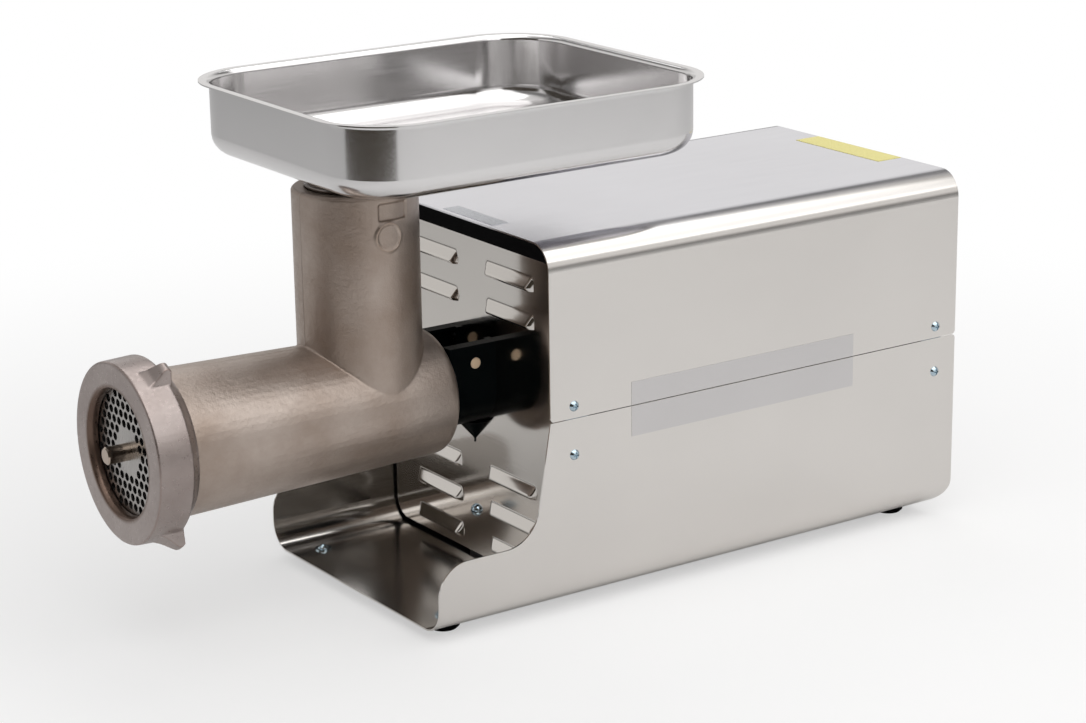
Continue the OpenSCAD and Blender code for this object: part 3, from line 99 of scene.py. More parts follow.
camera_data = bpy.data.cameras.new("camera")
camera_data.sensor_width = sensor_mm
camera_data.lens = focal_px / image_width_px * sensor_mm
camera_data.clip_end = 50
camera = bpy.data.objects.new("camera", camera_data)
bpy.context.scene.collection.objects.link(camera)
turn = Matrix(camera_axes(camera_azimuth, camera_elevation, camera_roll)).transposed()
camera.matrix_world = Matrix.Translation(camera_place) @ turn.to_4x4()
bpy.context.scene.camera = camera
bpy.context.scene.view_settings.view_transform = "Standard"
print("lens:", round(camera_data.lens, 1), "mm")

# %% [markdown]
# ## Helpers for materials
# Every finish is a Principled shader fed by noise. Real surfaces differ in three ways at once:
# the colour drifts a little, the roughness changes from place to place, and fine grain tilts the
# surface. One small helper makes each of these, so that a finish reads as a short recipe.
# All patterns use the model's own coordinates in metres, so a scale of 1000 is about a millimetre.

# %% Material helpers
def new_finish(name, colour, metallic, roughness):
    material = bpy.data.materials.new(name)
    material.use_nodes = True
    shader = material.node_tree.nodes["Principled BSDF"]
    shader.inputs["Base Color"].default_value = (*colour, 1)
    shader.inputs["Metallic"].default_value = metallic
    shader.inputs["Roughness"].default_value = roughness
    return material


def grain(material, scale, stretch=(1, 1, 1), detail=3.0):
    """A noise pattern; a small stretch along an axis draws it out into streaks."""
    tree = material.node_tree
    coords = tree.nodes.new("ShaderNodeTexCoord")
    mapping = tree.nodes.new("ShaderNodeMapping")
    mapping.inputs["Scale"].default_value = stretch
    noise = tree.nodes.new("ShaderNodeTexNoise")
    noise.inputs["Scale"].default_value = scale
    noise.inputs["Detail"].default_value = detail
    tree.links.new(coords.outputs["Object"], mapping.inputs["Vector"])
    tree.links.new(mapping.outputs["Vector"], noise.inputs["Vector"])
    return noise.outputs["Fac"]


def colour_ramp(tree, steps):
    """A ramp with a colour at each place; steps is a list of (place, colour)."""
    ramp = tree.nodes.new("ShaderNodeValToRGB")
    while len(ramp.color_ramp.elements) < len(steps):
        ramp.color_ramp.elements.new(1.0)
    for element, (place, colour) in zip(ramp.color_ramp.elements, steps):
        element.position = place
        element.color = (*colour, 1)
    return ramp


def colour_drift(material, pattern, low, high, start=0.35, end=0.65):
    tree = material.node_tree
    ramp = colour_ramp(tree, [(start, low), (end, high)])
    tree.links.new(pattern, ramp.inputs["Fac"])
    shader = tree.nodes["Principled BSDF"]
    tree.links.new(ramp.outputs["Color"], shader.inputs["Base Color"])


def map_range(tree, value, start, end, low=0.0, high=1.0):
    """Spreads a value from start..end to low..high."""
    spread = tree.nodes.new("ShaderNodeMapRange")
    spread.inputs["From Min"].default_value = start
    spread.inputs["From Max"].default_value = end
    spread.inputs["To Min"].default_value = low
    spread.inputs["To Max"].default_value = high
    tree.links.new(value, spread.inputs["Value"])
    return spread


def roughness_drift(material, pattern, low, high):
    tree = material.node_tree
    spread = map_range(tree, pattern, 0.3, 0.7, low, high)
    tree.links.new(spread.outputs["Result"], tree.nodes["Principled BSDF"].inputs["Roughness"])


def relief(material, pattern, depth, strength=1.0):
    """Tilts the surface as if the pattern were that deep, in metres; calls add up."""
    tree = material.node_tree
    shader = tree.nodes["Principled BSDF"]
    bump = tree.nodes.new("ShaderNodeBump")
    bump.inputs["Strength"].default_value = strength
    bump.inputs["Distance"].default_value = depth
    tree.links.new(pattern, bump.inputs["Height"])
    if shader.inputs["Normal"].is_linked:
        tree.links.new(shader.inputs["Normal"].links[0].from_socket, bump.inputs["Normal"])
    tree.links.new(bump.outputs["Normal"], shader.inputs["Normal"])


def object_axis(tree, axis):
    """How far a point lies along X, Y or Z, in metres."""
    coords = tree.nodes.new("ShaderNodeTexCoord")
    split = tree.nodes.new("ShaderNodeSeparateXYZ")
    tree.links.new(coords.outputs["Object"], split.inputs["Vector"])
    return split.outputs[axis]


def multiply_colour(material):
    """Puts a multiply blend before the finish's colour; returns its amount and tint sockets."""
    colour_in, tint_in, colour_out = 6, 7, 2
    tree = material.node_tree
    base = tree.nodes["Principled BSDF"].inputs["Base Color"]
    blend = tree.nodes.new("ShaderNodeMix")
    blend.data_type = "RGBA"
    blend.blend_type = "MULTIPLY"
    tree.links.new(base.links[0].from_socket, blend.inputs[colour_in])
    tree.links.new(blend.outputs[colour_out], base)
    return blend.inputs["Factor"], blend.inputs[tint_in]


print("helpers: grain, colour_drift, roughness_drift, relief, object_axis, multiply_colour")

# %% [markdown]
# ## Sheet steel
# The covers are stainless sheet with a fine grain that runs along the machine. The grain is too
# small to see as lines; it shows as a soft sheen. A second, very slow pattern gives the slight
# unevenness that makes reflections in thin sheet wander.

# %% Brushed and polished stainless steel
def sheet_steel(name, colour, roughness, along, wander):
    steel = new_finish(name, colour, 1.0, roughness)
    streaks = grain(steel, 900, along, 4)
    roughness_drift(steel, streaks, roughness - 0.02, roughness + 0.03)
    slow = grain(steel, 6)
    colour_drift(steel, slow, tuple(c * 0.96 for c in colour), colour)
    relief(steel, streaks, 0.003 * mm)
    relief(steel, slow, wander)
    return steel


def paint_light_by_height(material, start, end, tint):
    """Paints light or shade by height: multiplies the colour by a tint that fades in from the height
    start to the height end.
    """
    tree = material.node_tree
    fade = map_range(tree, object_axis(tree, "Z"), start, end)
    amount, colour = multiply_colour(material)
    tree.links.new(fade.outputs["Result"], amount)
    colour.default_value = (*tint, 1)


along_x = (0.02, 1, 1)
along_y = (1, 0.02, 1)
top_bend_height = 281 * mm
top_height = 285 * mm
pan_floor_height = 334 * mm
spout_height = 330 * mm
cover_steel = sheet_steel("cover_steel", (0.66, 0.635, 0.61), 0.17, along_x, 0.35 * mm)
# Painted light: the flat top above the bend is made brighter and bluer.
paint_light_by_height(cover_steel, top_bend_height, top_height, (1.05, 1.09, 1.2))
tray_steel = sheet_steel("tray_steel", (0.66, 0.635, 0.61), 0.17, along_x, 0.35 * mm)
panel_steel = sheet_steel("panel_steel", (0.57, 0.545, 0.515), 0.10, along_y, 0.45 * mm)
pan_steel = sheet_steel("pan_steel", (0.67, 0.66, 0.66), 0.16, along_x, 0.45 * mm)
# Painted shade: below the pan's floor, the spout is darkened to a dark brown-grey.
paint_light_by_height(pan_steel, pan_floor_height, spout_height, (0.30, 0.27, 0.25))
print("sheet steels: 4")

# %% [markdown]
# ## Cast iron with a tin coat
# The barrel is cast in sand and dipped in tin. The tin keeps the sand's grain, so the surface is
# matt with tiny pits, and its warm grey drifts towards brown where the coat is thin. Two sizes of
# grain are laid over each other, because a single one looks like wallpaper.

# %% Castings
def casting(name, dark, light, roughness, pit):
    cast = new_finish(name, light, 0.8, roughness)
    fine = grain(cast, 1100, detail=5)
    coarse = grain(cast, 330, detail=4)
    clouds = grain(cast, 18, detail=6)
    colour_drift(cast, clouds, dark, light, 0.3, 0.7)
    roughness_drift(cast, coarse, roughness - 0.08, roughness + 0.08)
    relief(cast, fine, pit)
    relief(cast, coarse, 2.2 * pit)
    return cast


def parting_line(material, half_width, height):
    """The fine ridge that a casting keeps where the two halves of its mould met, at y = 0."""
    tree = material.node_tree
    off = tree.nodes.new("ShaderNodeMath")
    off.operation = "ABSOLUTE"
    tree.links.new(object_axis(tree, "Y"), off.inputs[0])
    ridge = map_range(tree, off.outputs["Value"], half_width, 0.0)
    ridge.interpolation_type = "SMOOTHSTEP"
    relief(material, ridge.outputs["Result"], height)


def hollow_shade_and_edge_wear(material, shade_in_hollows, edge):
    """Paints shade into the hollows, darkening what lies deep, and browns the edges, where tin wears.
    """
    tree = material.node_tree
    shape = tree.nodes.new("ShaderNodeNewGeometry")
    flat = (1, 1, 1)
    ramp = colour_ramp(tree, [(0.43, shade_in_hollows), (0.485, flat), (0.515, flat), (0.56, edge)])
    amount, colour = multiply_colour(material)
    amount.default_value = 1.0
    tree.links.new(shape.outputs["Pointiness"], ramp.inputs["Fac"])
    tree.links.new(ramp.outputs["Color"], colour)


def mouth_shade_and_stain(material, start, end, shade_and_stain_tint):
    """Browns what lies nearer to the auger's axis than start, as painted shade and stained tin in the
    ring's mouth; it fades out at end.
    """
    tree = material.node_tree
    coords = tree.nodes.new("ShaderNodeTexCoord")
    centred = tree.nodes.new("ShaderNodeMapping")
    centred.inputs["Location"].default_value = (0, 0, -axis_height)
    centred.inputs["Scale"].default_value = (0, 1, 1)
    reach = tree.nodes.new("ShaderNodeVectorMath")
    reach.operation = "LENGTH"
    tree.links.new(coords.outputs["Object"], centred.inputs["Vector"])
    tree.links.new(centred.outputs["Vector"], reach.inputs[0])
    fade = map_range(tree, reach.outputs["Value"], end, start)
    amount, colour = multiply_colour(material)
    tree.links.new(fade.outputs["Result"], amount)
    colour.default_value = (*shade_and_stain_tint, 1)


barrel_cast = casting("barrel_cast", (0.325, 0.255, 0.21), (0.475, 0.405, 0.36), 0.40, 0.12 * mm)
parting_line(barrel_cast, 0.9 * mm, 0.35 * mm)
# Painted shade darkens the barrel's hollows, also the valley round the neck, and its edges get a
# touch of brown wear.
hollow_shade_and_edge_wear(barrel_cast, (0.45, 0.36, 0.30), (0.95, 0.86, 0.78))
ring_cast = casting("ring_cast", (0.275, 0.228, 0.212), (0.40, 0.348, 0.33), 0.33, 0.035 * mm)
# Painted shade darkens the ring's hollows and, with some stained tin, browns its mouth; its edges get
# brown wear.
hollow_shade_and_edge_wear(ring_cast, (0.35, 0.27, 0.22), (0.66, 0.50, 0.42))
mouth_shade_and_stain(ring_cast, 48.4 * mm, 51.2 * mm, (0.42, 0.33, 0.27))
alloy_cast = casting("alloy_cast", (0.40, 0.41, 0.43), (0.52, 0.53, 0.55), 0.45, 0.05 * mm)
print("castings: 3")

# %% [markdown]
# ## Turned, ground and plated metal
# Screws are zinc plated, which gives a cold bluish white. Shafts and gears are turned steel with
# rings from the tool, and an oil film darkens them. They share one recipe with other numbers.

# %% Small metal parts
def machined(name, colour, roughness, stretch=(1, 1, 1)):
    metal = new_finish(name, colour, 1.0, roughness)
    marks = grain(metal, 1500, stretch, 2)
    roughness_drift(metal, marks, roughness - 0.05, roughness + 0.08)
    colour_drift(metal, grain(metal, 60), tuple(c * 0.9 for c in colour), colour)
    relief(metal, marks, 0.01 * mm)
    return metal


zinc = machined("zinc", (0.46, 0.57, 0.64), 0.14)
bright_steel = machined("bright_steel", (0.70, 0.69, 0.66), 0.20, (3, 0.1, 0.1))
auger_steel = machined("auger_steel", (0.46, 0.385, 0.32), 0.17, (2, 0.1, 0.1))
gear_steel = machined("gear_steel", (0.36, 0.36, 0.37), 0.34, (0.1, 2, 2))
plate_steel = machined("plate_steel", (0.40, 0.385, 0.37), 0.26, (1, 1, 0.05))
blackened = machined("blackened", (0.012, 0.012, 0.013), 0.40)
bronze = machined("bronze", (0.70, 0.50, 0.26), 0.28, (3, 0.1, 0.1))
copper = machined("copper", (0.55, 0.24, 0.10), 0.42, (0.1, 3, 3))
print("small metals: 8")

# %% [markdown]
# ## Plastic, rubber and foil
# Moulded plastic is never quite even: a fine texture from the mould breaks up its gloss.
# Rubber is the same recipe, rougher. The foils are smooth and only slightly uneven.

# %% Plastics
def moulded(name, colour, roughness, texture_depth):
    plastic = new_finish(name, colour, 0.0, roughness)
    skin = grain(plastic, 1400, detail=3)
    roughness_drift(plastic, skin, roughness - 0.05, roughness + 0.08)
    colour_drift(plastic, grain(plastic, 25), tuple(c * 0.88 for c in colour), colour)
    relief(plastic, skin, texture_depth)
    return plastic


def deep_black(plastic):
    """Takes most of the sheen off, so that black stays black beside bright steel."""
    plastic.node_tree.nodes["Principled BSDF"].inputs["Specular IOR Level"].default_value = 0.02
    return plastic


black_plastic = deep_black(moulded("black_plastic", (0.0022, 0.0035, 0.004), 0.30, 0.01 * mm))
black_rubber = deep_black(moulded("black_rubber", (0.003, 0.003, 0.0035), 0.55, 0.03 * mm))
clear_foil = sheet_steel("clear_foil", (0.575, 0.56, 0.56), 0.21, along_x, 0.2 * mm)


foil_border = 100 * mm


def two_foils(name, front_colour, rear_colour):
    """One finish for two labels of one piece: clear in front of the border, coloured behind."""
    foil = moulded(name, rear_colour, 0.28, 0.002 * mm)
    tree = foil.node_tree
    before = tree.nodes.new("ShaderNodeMath")
    before.operation = "LESS_THAN"
    before.inputs[1].default_value = foil_border
    tree.links.new(object_axis(tree, "X"), before.inputs[0])
    colour_drift(foil, before.outputs["Value"], rear_colour, front_colour, 0.4, 0.6)
    tree.links.new(before.outputs["Value"], tree.nodes["Principled BSDF"].inputs["Metallic"])
    return foil


label_foil = two_foils("label_foil", (0.60, 0.62, 0.66), (0.78, 0.70, 0.19))
tan_coat = moulded("tan_coat", (0.93, 0.70, 0.48), 0.38, 0.02 * mm)
acetal = moulded("acetal", (0.80, 0.78, 0.70), 0.40, 0.01 * mm)
grey_plastic = moulded("grey_plastic", (0.045, 0.052, 0.058), 0.42, 0.02 * mm)
white_plastic = moulded("white_plastic", (0.72, 0.73, 0.72), 0.30, 0.01 * mm)
green_plastic = moulded("green_plastic", (0.02, 0.33, 0.08), 0.25, 0.005 * mm)
red_plastic = moulded("red_plastic", (0.50, 0.02, 0.015), 0.25, 0.005 * mm)
print("plastics and foils: 10")

# %% [markdown]
# ## Dressing the mechanical pieces
# Most pieces already have their true shape, and only need a finish. One table says which piece
# gets which finish. A piece that is missing from the table would be easy to overlook, so the
# cell stops if one is.

# %% Finishes by piece
finish_of = {
    "bottom_tray": tray_steel, "top_cover": cover_steel, "front_panel": panel_steel,
    "rear_panel": panel_steel, "panel_seals": black_rubber, "side_brackets": zinc,
    "floor_brackets": blackened, "bracket_nuts": zinc, "cover_screws": zinc, "panel_screws": zinc,
    "rubber_feet": black_rubber, "foot_screws": zinc, "foot_washers": zinc, "foot_nuts": zinc,
    "side_foil": clear_foil, "top_foils": label_foil, "barrel": barrel_cast,
    "barrel_bush": bronze, "thrust_washer": acetal, "auger": auger_steel, "knife": bright_steel,
    "hole_plate": plate_steel, "plate_key": bright_steel, "ring_nut": ring_cast,
    "feed_pan": pan_steel, "drip_guard": black_plastic, "guard_screws": blackened,
    "coupling_tube": tan_coat, "coupling_bolts": zinc, "gearbox_housing": alloy_cast,
    "gearbox_cover": alloy_cast, "gearbox_bolts": zinc, "bearing_bridge": alloy_cast,
    "oil_seal": black_rubber, "output_shaft": gear_steel, "output_gear": gear_steel,
    "output_bearings": bright_steel, "layshaft": gear_steel, "layshaft_gear": gear_steel,
    "layshaft_bearings": bright_steel, "motor_pinion": gear_steel, "motor_shaft": bright_steel,
    "motor_rotor": gear_steel, "motor_stator": copper, "motor_housing": alloy_cast,
    "motor_shields": alloy_cast, "shield_screws": zinc, "motor_bearings": bright_steel,
    "motor_fan": grey_plastic, "fan_cowl": black_plastic, "motor_saddle": alloy_cast,
    "base_bolts": zinc, "run_capacitor": white_plastic, "switch_body": black_plastic,
    "start_button": green_plastic, "stop_button": red_plastic, "gland_body": grey_plastic,
    "gland_locknut": grey_plastic, "gland_nut": grey_plastic, "gland_seal": black_rubber,
}


def dress(thing, finish):
    if not thing.data.materials:
        thing.data.materials.append(finish)
    for slot in thing.material_slots:
        slot.material = finish


missing = sorted(set(nodes) - set(finish_of))
if missing:
    raise RuntimeError("no finish for " + ", ".join(missing))
for name, finish in finish_of.items():
    dress(nodes[name], finish)
print("dressed:", len(finish_of))

# %% [markdown]
# ## Soft edges on the castings
# A casting has no sharp edge: sand can't hold one. We copy the mechanical piece, rebuild it from
# small cubes with the voxel remesher, and smooth the result. Each edge comes out rounded, more so
# with more rounds, also in the valley where the neck meets the barrel, where drawing a fillet by
# hand would be hard. The copy stands in for the mechanical piece in every view.

# %% Castings from the mechanical pieces
def link_mesh(name, mesh, body, finish):
    thing = bpy.data.objects.new(name, mesh)
    bpy.context.scene.collection.objects.link(thing)
    dress(thing, finish)
    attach(thing, body)
    return thing


def applied(thing):
    """The mesh with its modifiers worked in."""
    bpy.context.view_layer.update()
    graph = bpy.context.evaluated_depsgraph_get()
    return bpy.data.meshes.new_from_object(thing.evaluated_get(graph))


def soft_casting(node, name, voxel, rounds):
    mesh = nodes[node].data.copy()
    merge = bmesh.new()
    merge.from_mesh(mesh)
    bmesh.ops.remove_doubles(merge, verts=merge.verts, dist=0.001 * mm)
    merge.to_mesh(mesh)
    merge.free()
    worker = bpy.data.objects.new(name + "_worker", mesh)
    bpy.context.scene.collection.objects.link(worker)
    remesh = worker.modifiers.new("remesh", "REMESH")
    remesh.mode = "VOXEL"
    remesh.voxel_size = voxel
    smooth = worker.modifiers.new("smooth", "SMOOTH")
    smooth.factor = 0.5
    smooth.iterations = rounds
    result = applied(worker)
    bpy.data.objects.remove(worker)
    result.shade_smooth()
    thing = link_mesh(name, result, nodes[node]["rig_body"], finish_of[node])
    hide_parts(node)
    print(name, "faces:", len(result.polygons))


soft_casting("barrel", "barrel_casting", 0.8 * mm, 2)
soft_casting("ring_nut", "ring_casting", 0.7 * mm, 12)

# %% [markdown]
# ## Caps in the drip guard
# A round tan cap closes the hole in each side of the black guard. It is turned: a profile of
# radius and height is swept round the cap's own axis. The edge is rounded, so that it catches
# the light as a moulded cap does.

# %% Caps
cap_r = 4.3
cap_depth = 2.6
cap_profile = [(0, 0.75), (2.2, 0.68), (3.5, 0.50), (4.05, 0.28), (cap_r, 0.0),
               (cap_r, -cap_depth), (0, -cap_depth)]


def turned_cap(name, place, outward, steps=40):
    mesh = bmesh.new()
    rings = []
    for radius, height in cap_profile:
        angles = [2 * math.pi * i / steps for i in range(steps)] if radius else [0]
        offsets = [Vector((radius * math.cos(a), outward * height, radius * math.sin(a)))
                   for a in angles]
        rings.append([mesh.verts.new(Vector(place) + offset * mm) for offset in offsets])
    for first, second in zip(rings, rings[1:]):
        for i in range(steps):
            near = [first[i % len(first)], second[i % len(second)]]
            far = [second[(i + 1) % len(second)], first[(i + 1) % len(first)]]
            mesh.faces.new(list(dict.fromkeys(near + far)))
    bmesh.ops.recalc_face_normals(mesh, faces=mesh.faces)
    data = bpy.data.meshes.new(name)
    mesh.to_mesh(data)
    mesh.free()
    data.shade_smooth()
    data.set_sharp_from_angle(angle=math.radians(40))
    link_mesh(name, data, "root", tan_coat)


cap_inset = 22.7 * mm
cap_rise = 23.6 * mm
guard_low, guard_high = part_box("drip_guard")
cap_x = guard_low.x + cap_inset
cap_z = axis_height + cap_rise
turned_cap("guard_cap_near", (cap_x, guard_low.y, cap_z), -1)
turned_cap("guard_cap_far", (cap_x, guard_high.y, cap_z), 1)
print("caps: 2")

# %% [markdown]
# ## Pressed louvres
# A louvre is cut along one edge and pushed out by a punch, so its face slopes out of the sheet and
# its lower edge stands open, with a small three-cornered cheek at each end. We could sculpt a hood
# or cut it with a boolean, but a formula for its depth gives every hood the same soft shape.

# %% Hood of a louvre
sheet = 1.2 * mm
louvre_width = 64 * mm
louvre_height = 12 * mm
louvre_depth = 5.5 * mm
louvre_middle = 51.5 * mm
tray_under = 8 * mm
louvre_rows = [tray_under + z * mm for z in (13, 42, 71, 204, 233)]
cheek_slope = 1.15
bend = 3.2 * mm
soft_top = 0.14
face_rise = 1.14
face_dip = 0.5
dip_power = 6
end_steps = [i * 0.8 * mm for i in range(10)]
hood_places = end_steps + [louvre_width / 2] + [louvre_width - e for e in reversed(end_steps)]
hood_rows = 12


def hood_depth(place, up):
    """How far a hood stands out, place metres along it and up from 0 at its open edge to 1."""
    down = 1 - up
    slope = down * down / (2 * soft_top) if down < soft_top else down - soft_top / 2
    face = louvre_depth * min(face_rise * slope, 1 - face_dip * down ** dip_power)
    end = cheek_slope * min(place, louvre_width - place)
    if end <= 0 or up >= 1:
        return 0.0
    near = max(bend - abs(face - end), 0.0)
    return max(min(face, end) - near * near / (4 * bend), 0.0)


print("points along a hood:", len(hood_places))

# %% [markdown]
# ## The two panels
# Each panel is a thin mirror-like sheet with ten louvres and a few holes. A boolean would leave a
# rough edge on such a sheet. Instead, the flat part is one outline with holes, filled with
# triangles, and each hood is a fine grid that shares its border points with its hole. A modifier
# then gives the whole sheet its thickness.

# %% Panel with louvres
def ring_of(mesh, points):
    """Joins the points into a closed loop of edges, and keeps corners that exist already."""
    corners = [p if isinstance(p, bmesh.types.BMVert) else mesh.verts.new(p) for p in points]
    edges = []
    for first, second in zip(corners, corners[1:] + corners[:1]):
        edges.append(mesh.edges.get((first, second)) or mesh.edges.new((first, second)))
    return edges


def round_hole(y, z, radius, steps=64):
    return [(0, y + radius * math.cos(2 * math.pi * i / steps),
             z + radius * math.sin(2 * math.pi * i / steps)) for i in range(steps)]


def panel_outline(low, high, corner):
    """Square above, and rounded at the two lower corners to follow the tray's bends."""
    points = [(0, high.y, high.z), (0, low.y, high.z)]
    for side in (-1, 1):
        hub_y = low.y + corner if side < 0 else high.y - corner
        sweep = [side * math.pi / 2 * (1 - i / 16) if side < 0 else math.pi / 2 * i / 16
                 for i in range(17)]
        points += [(0, hub_y + corner * math.sin(a), low.z + corner - corner * math.cos(a))
                   for a in sweep]
    return points


def add_hood(mesh, side, row, outward):
    """A grid pushed out of the sheet; returns the loop that its hole in the sheet needs."""
    start = side * louvre_middle - louvre_width / 2
    grid = [[mesh.verts.new((outward * hood_depth(place, r / hood_rows), start + place,
                             row + louvre_height * r / hood_rows)) for place in hood_places]
            for r in range(hood_rows + 1)]
    for lower, upper in zip(grid, grid[1:]):
        for c in range(len(hood_places) - 1):
            mesh.faces.new((lower[c], lower[c + 1], upper[c + 1], upper[c]))
    left = [line[0] for line in grid]
    right = [line[-1] for line in grid]
    return left + grid[-1][1:-1] + right[::-1]


def panel_mesh(name, low, high, corner, outward, holes):
    mesh = bmesh.new()
    loops = ring_of(mesh, panel_outline(low, high, corner))
    for row in louvre_rows:
        for side in (-1, 1):
            loops += ring_of(mesh, add_hood(mesh, side, row, outward))
    for hole in holes:
        loops += ring_of(mesh, hole)
    bmesh.ops.triangle_fill(mesh, use_beauty=True, edges=loops, normal=(outward, 0, 0))
    bmesh.ops.recalc_face_normals(mesh, faces=mesh.faces)
    if sum(f.normal.x * f.calc_area() for f in mesh.faces) * outward < 0:
        bmesh.ops.reverse_faces(mesh, faces=mesh.faces)
    data = bpy.data.meshes.new(name)
    mesh.to_mesh(data)
    mesh.free()
    return data


panel_corner = 15.8 * mm


def panel(node, name, outward, holes):
    low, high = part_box(node)
    face_x = (high.x if outward < 0 else low.x) + outward * sheet
    mesh = panel_mesh(name + "_mesh", low, high, panel_corner, outward, holes)
    mesh.transform(Matrix.Translation((face_x, 0, 0)))
    worker = bpy.data.objects.new(name + "_worker", mesh)
    bpy.context.scene.collection.objects.link(worker)
    thick = worker.modifiers.new("thick", "SOLIDIFY")
    thick.thickness = sheet
    thick.offset = -1
    result = applied(worker)
    bpy.data.objects.remove(worker)
    result.shade_smooth()
    result.set_sharp_from_angle(angle=math.radians(38))
    for face in result.polygons:
        face.use_smooth = abs(face.normal.x) < 0.99999
    thing = link_mesh(name, result, "root", finish_of[node])
    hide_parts(node)
    print(name, "faces:", len(result.polygons))


screw_hole_r = 2.2 * mm
shaft_hole_r = 28 * mm
gland_hole_r = 10.05 * mm
switch_half_width = 21.15 * mm
switch_half_height = 33.15 * mm
screw_low, screw_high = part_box("panel_screws")
screw_hole = round_hole(0, (screw_low.z + screw_high.z) / 2, screw_hole_r, 24)
switch_low, switch_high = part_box("switch_body")
gland_low, gland_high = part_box("gland_body")
gland_middle = (gland_low + gland_high) / 2
switch_middle = (switch_low + switch_high) / 2
switch_hole = [(0, switch_middle.y + y * switch_half_width, switch_middle.z + z * switch_half_height)
               for y, z in ((-1, -1), (1, -1), (1, 1), (-1, 1))]
panel("front_panel", "front_panel_skin", -1,
      [screw_hole, round_hole(0, axis_height, shaft_hole_r)])
panel("rear_panel", "rear_panel_skin", 1,
      [screw_hole, switch_hole, round_hole(gland_middle.y, gland_middle.z, gland_hole_r, 48)])

# %% [markdown]
# ## The floor
# A studio has a sheet of white paper that curves up behind the machine, so that no horizon shows.
# A flat disc is simpler. It is matt and takes the soft shadow, and for the camera alone it fades
# into plain white with distance.

# %% Floor
floor_radius = 9
fade_start = 0.35
fade_end = 1.15
least_white = 0.5


def stage_floor(radius, colour):
    """A matt disc that fades into plain white with distance, for the camera alone."""
    mesh = bmesh.new()
    bmesh.ops.create_circle(mesh, cap_ends=True, segments=96, radius=radius)
    data = bpy.data.meshes.new("floor")
    mesh.to_mesh(data)
    mesh.free()
    floor = bpy.data.objects.new("floor", data)
    bpy.context.scene.collection.objects.link(floor)
    paint = new_finish("floor_paint", colour, 0.0, 0.9)
    tree = paint.node_tree
    shader = tree.nodes["Principled BSDF"]
    shader.inputs["Specular IOR Level"].default_value = 0.0
    coords = tree.nodes.new("ShaderNodeTexCoord")
    reach = tree.nodes.new("ShaderNodeVectorMath")
    reach.operation = "LENGTH"
    fade = map_range(tree, reach.outputs["Value"], fade_start, fade_end, least_white)
    fade.interpolation_type = "SMOOTHSTEP"
    path = tree.nodes.new("ShaderNodeLightPath")
    seen = tree.nodes.new("ShaderNodeMath")
    seen.operation = "MULTIPLY"
    plain = tree.nodes.new("ShaderNodeEmission")
    mix = tree.nodes.new("ShaderNodeMixShader")
    output = tree.nodes["Material Output"]
    tree.links.new(coords.outputs["Object"], reach.inputs[0])
    tree.links.new(fade.outputs["Result"], seen.inputs[0])
    tree.links.new(path.outputs["Is Camera Ray"], seen.inputs[1])
    tree.links.new(seen.outputs["Value"], mix.inputs["Fac"])
    tree.links.new(shader.outputs["BSDF"], mix.inputs[1])
    tree.links.new(plain.outputs["Emission"], mix.inputs[2])
    tree.links.new(mix.outputs["Shader"], output.inputs["Surface"])
    dress(floor, paint)


stage_floor(floor_radius, (0.95, 0.945, 0.94))
print("floor radius:", floor_radius, "m")

# %% [markdown]
# ## The room
# Polished steel shows the room, so the room has to be built as carefully as the machine. Ours has a
# pale backdrop from about ten to twenty-five degrees above the horizon, a darker strip from there
# to about forty, and a pale ceiling. A picture of a real room would do as well, but a ramp over
# height can be tuned one step at a time. Metal sees the room, the camera sees plain white behind
# the machine, and all else gets a soft fill light.

# %% The room
room_steps = [(0.0, 0.22), (0.06, 0.42), (0.16, 0.97), (0.25, 0.91), (0.44, 0.76), (0.54, 0.22),
              (0.66, 0.22), (0.80, 0.8), (1.0, 0.95)]
room_tint = (1.0, 0.985, 0.97)
fill_strength = 0.3


def background(tree, strength):
    node = tree.nodes.new("ShaderNodeBackground")
    node.inputs["Color"].default_value = (1, 1, 1, 1)
    node.inputs["Strength"].default_value = strength
    return node


def choose(tree, ray, otherwise, when):
    """Mixes two lights: one for the kind of ray that is named, the other for the rest."""
    mix = tree.nodes.new("ShaderNodeMixShader")
    tree.links.new(ray, mix.inputs["Fac"])
    tree.links.new(otherwise, mix.inputs[1])
    tree.links.new(when, mix.inputs[2])
    return mix.outputs["Shader"]


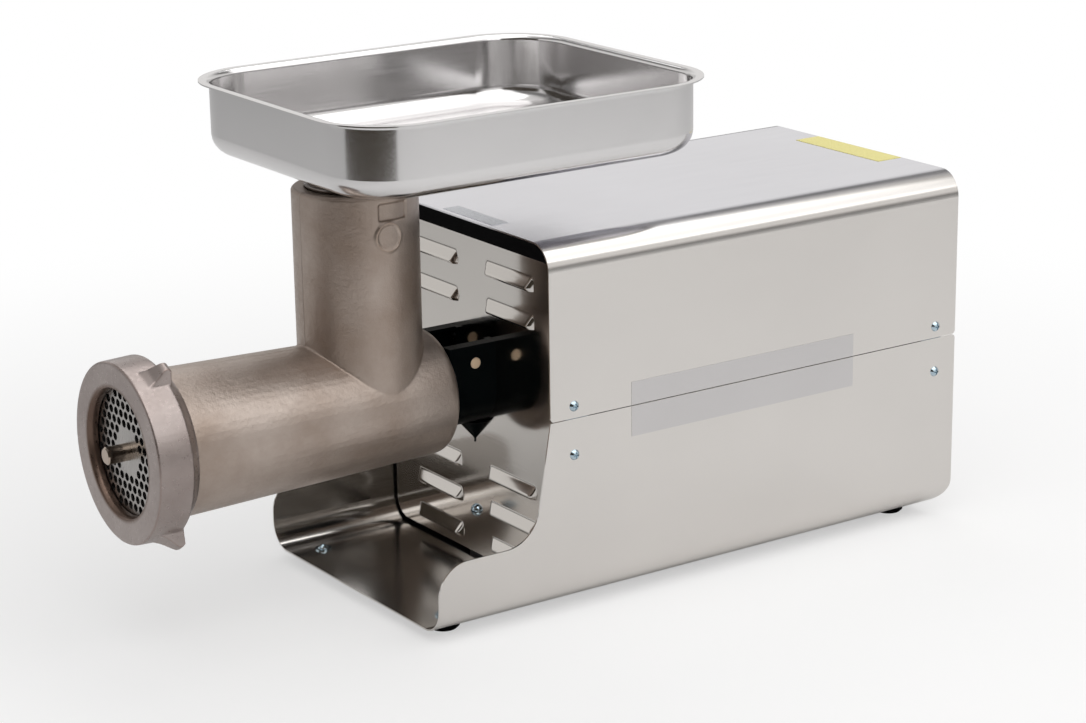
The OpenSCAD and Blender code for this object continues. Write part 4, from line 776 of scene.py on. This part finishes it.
def studio_room(steps):
    """A soft fill light, a room that metal reflects, and plain white for the camera."""
    world = bpy.data.worlds.new("studio")
    bpy.context.scene.world = world
    world.use_nodes = True
    tree = world.node_tree
    tree.nodes.clear()
    output = tree.nodes.new("ShaderNodeOutputWorld")
    rays = tree.nodes.new("ShaderNodeLightPath").outputs
    coords = tree.nodes.new("ShaderNodeTexCoord")
    split = tree.nodes.new("ShaderNodeSeparateXYZ")
    room = colour_ramp(tree, [(height, tuple(grey * t for t in room_tint))
                              for height, grey in steps])
    tree.links.new(coords.outputs["Generated"], split.inputs["Vector"])
    tree.links.new(split.outputs["Z"], room.inputs["Fac"])
    white = background(tree, 1.0)
    fill = background(tree, fill_strength)
    in_metal = background(tree, 1.0)
    tree.links.new(room.outputs["Color"], in_metal.inputs["Color"])
    light = choose(tree, rays["Is Glossy Ray"], fill.outputs["Background"],
                   in_metal.outputs["Background"])
    light = choose(tree, rays["Is Transmission Ray"], light, white.outputs["Background"])
    light = choose(tree, rays["Is Camera Ray"], light, white.outputs["Background"])
    tree.links.new(light, output.inputs["Surface"])


studio_room(room_steps)
print("room steps:", len(room_steps))

# %% [markdown]
# ## Lamps and a card
# A wide lamp gives soft shadows, so one hangs overhead on the camera's side, and a small one stands
# behind the machine. A dark card stands in front, seen by reflections alone. It draws the dark
# streak that a rounded shiny corner needs to look rounded.

# %% Lamps and card
def soft_lamp(name, place, target, width, height, power):
    data = bpy.data.lights.new(name, "AREA")
    data.shape = "RECTANGLE"
    data.size = width
    data.size_y = height
    data.energy = power
    lamp = bpy.data.objects.new(name, data)
    bpy.context.scene.collection.objects.link(lamp)
    lamp.location = place
    lamp.rotation_euler = (Vector(target) - Vector(place)).to_track_quat("-Z", "Y").to_euler()


def dark_card(name, place, width, height):
    """A dark brown card that stands on the floor, faces the machine and shows in reflections only."""
    facing = Vector((-place[0], -place[1], 0)).normalized()
    side = facing.cross(Vector((0, 0, 1)))
    mesh = bmesh.new()
    corners = [Vector(place) + side * a * width / 2 + Vector((0, 0, b * height))
               for a, b in ((-1, 0), (1, 0), (1, 1), (-1, 1))]
    mesh.faces.new([mesh.verts.new(c) for c in corners])
    data = bpy.data.meshes.new(name)
    mesh.to_mesh(data)
    mesh.free()
    card = bpy.data.objects.new(name, data)
    bpy.context.scene.collection.objects.link(card)
    dress(card, new_finish(name + "_paint", (0.055, 0.042, 0.028), 0.0, 0.9))
    card.visible_camera = False
    card.visible_diffuse = False
    card.visible_shadow = False


lamp_target = (0, 0, 0.2)
soft_lamp("overhead", (0.2, -1.0, 2.1), lamp_target, width=3.7, height=3.2, power=51)
soft_lamp("behind", (0.6, 1.2, 2.1), lamp_target, width=1.4, height=1.2, power=9)
dark_card("front_card", (-1.16, -0.72, 0.0), width=2.2, height=1.2)
print("lamps: 2, cards: 1")
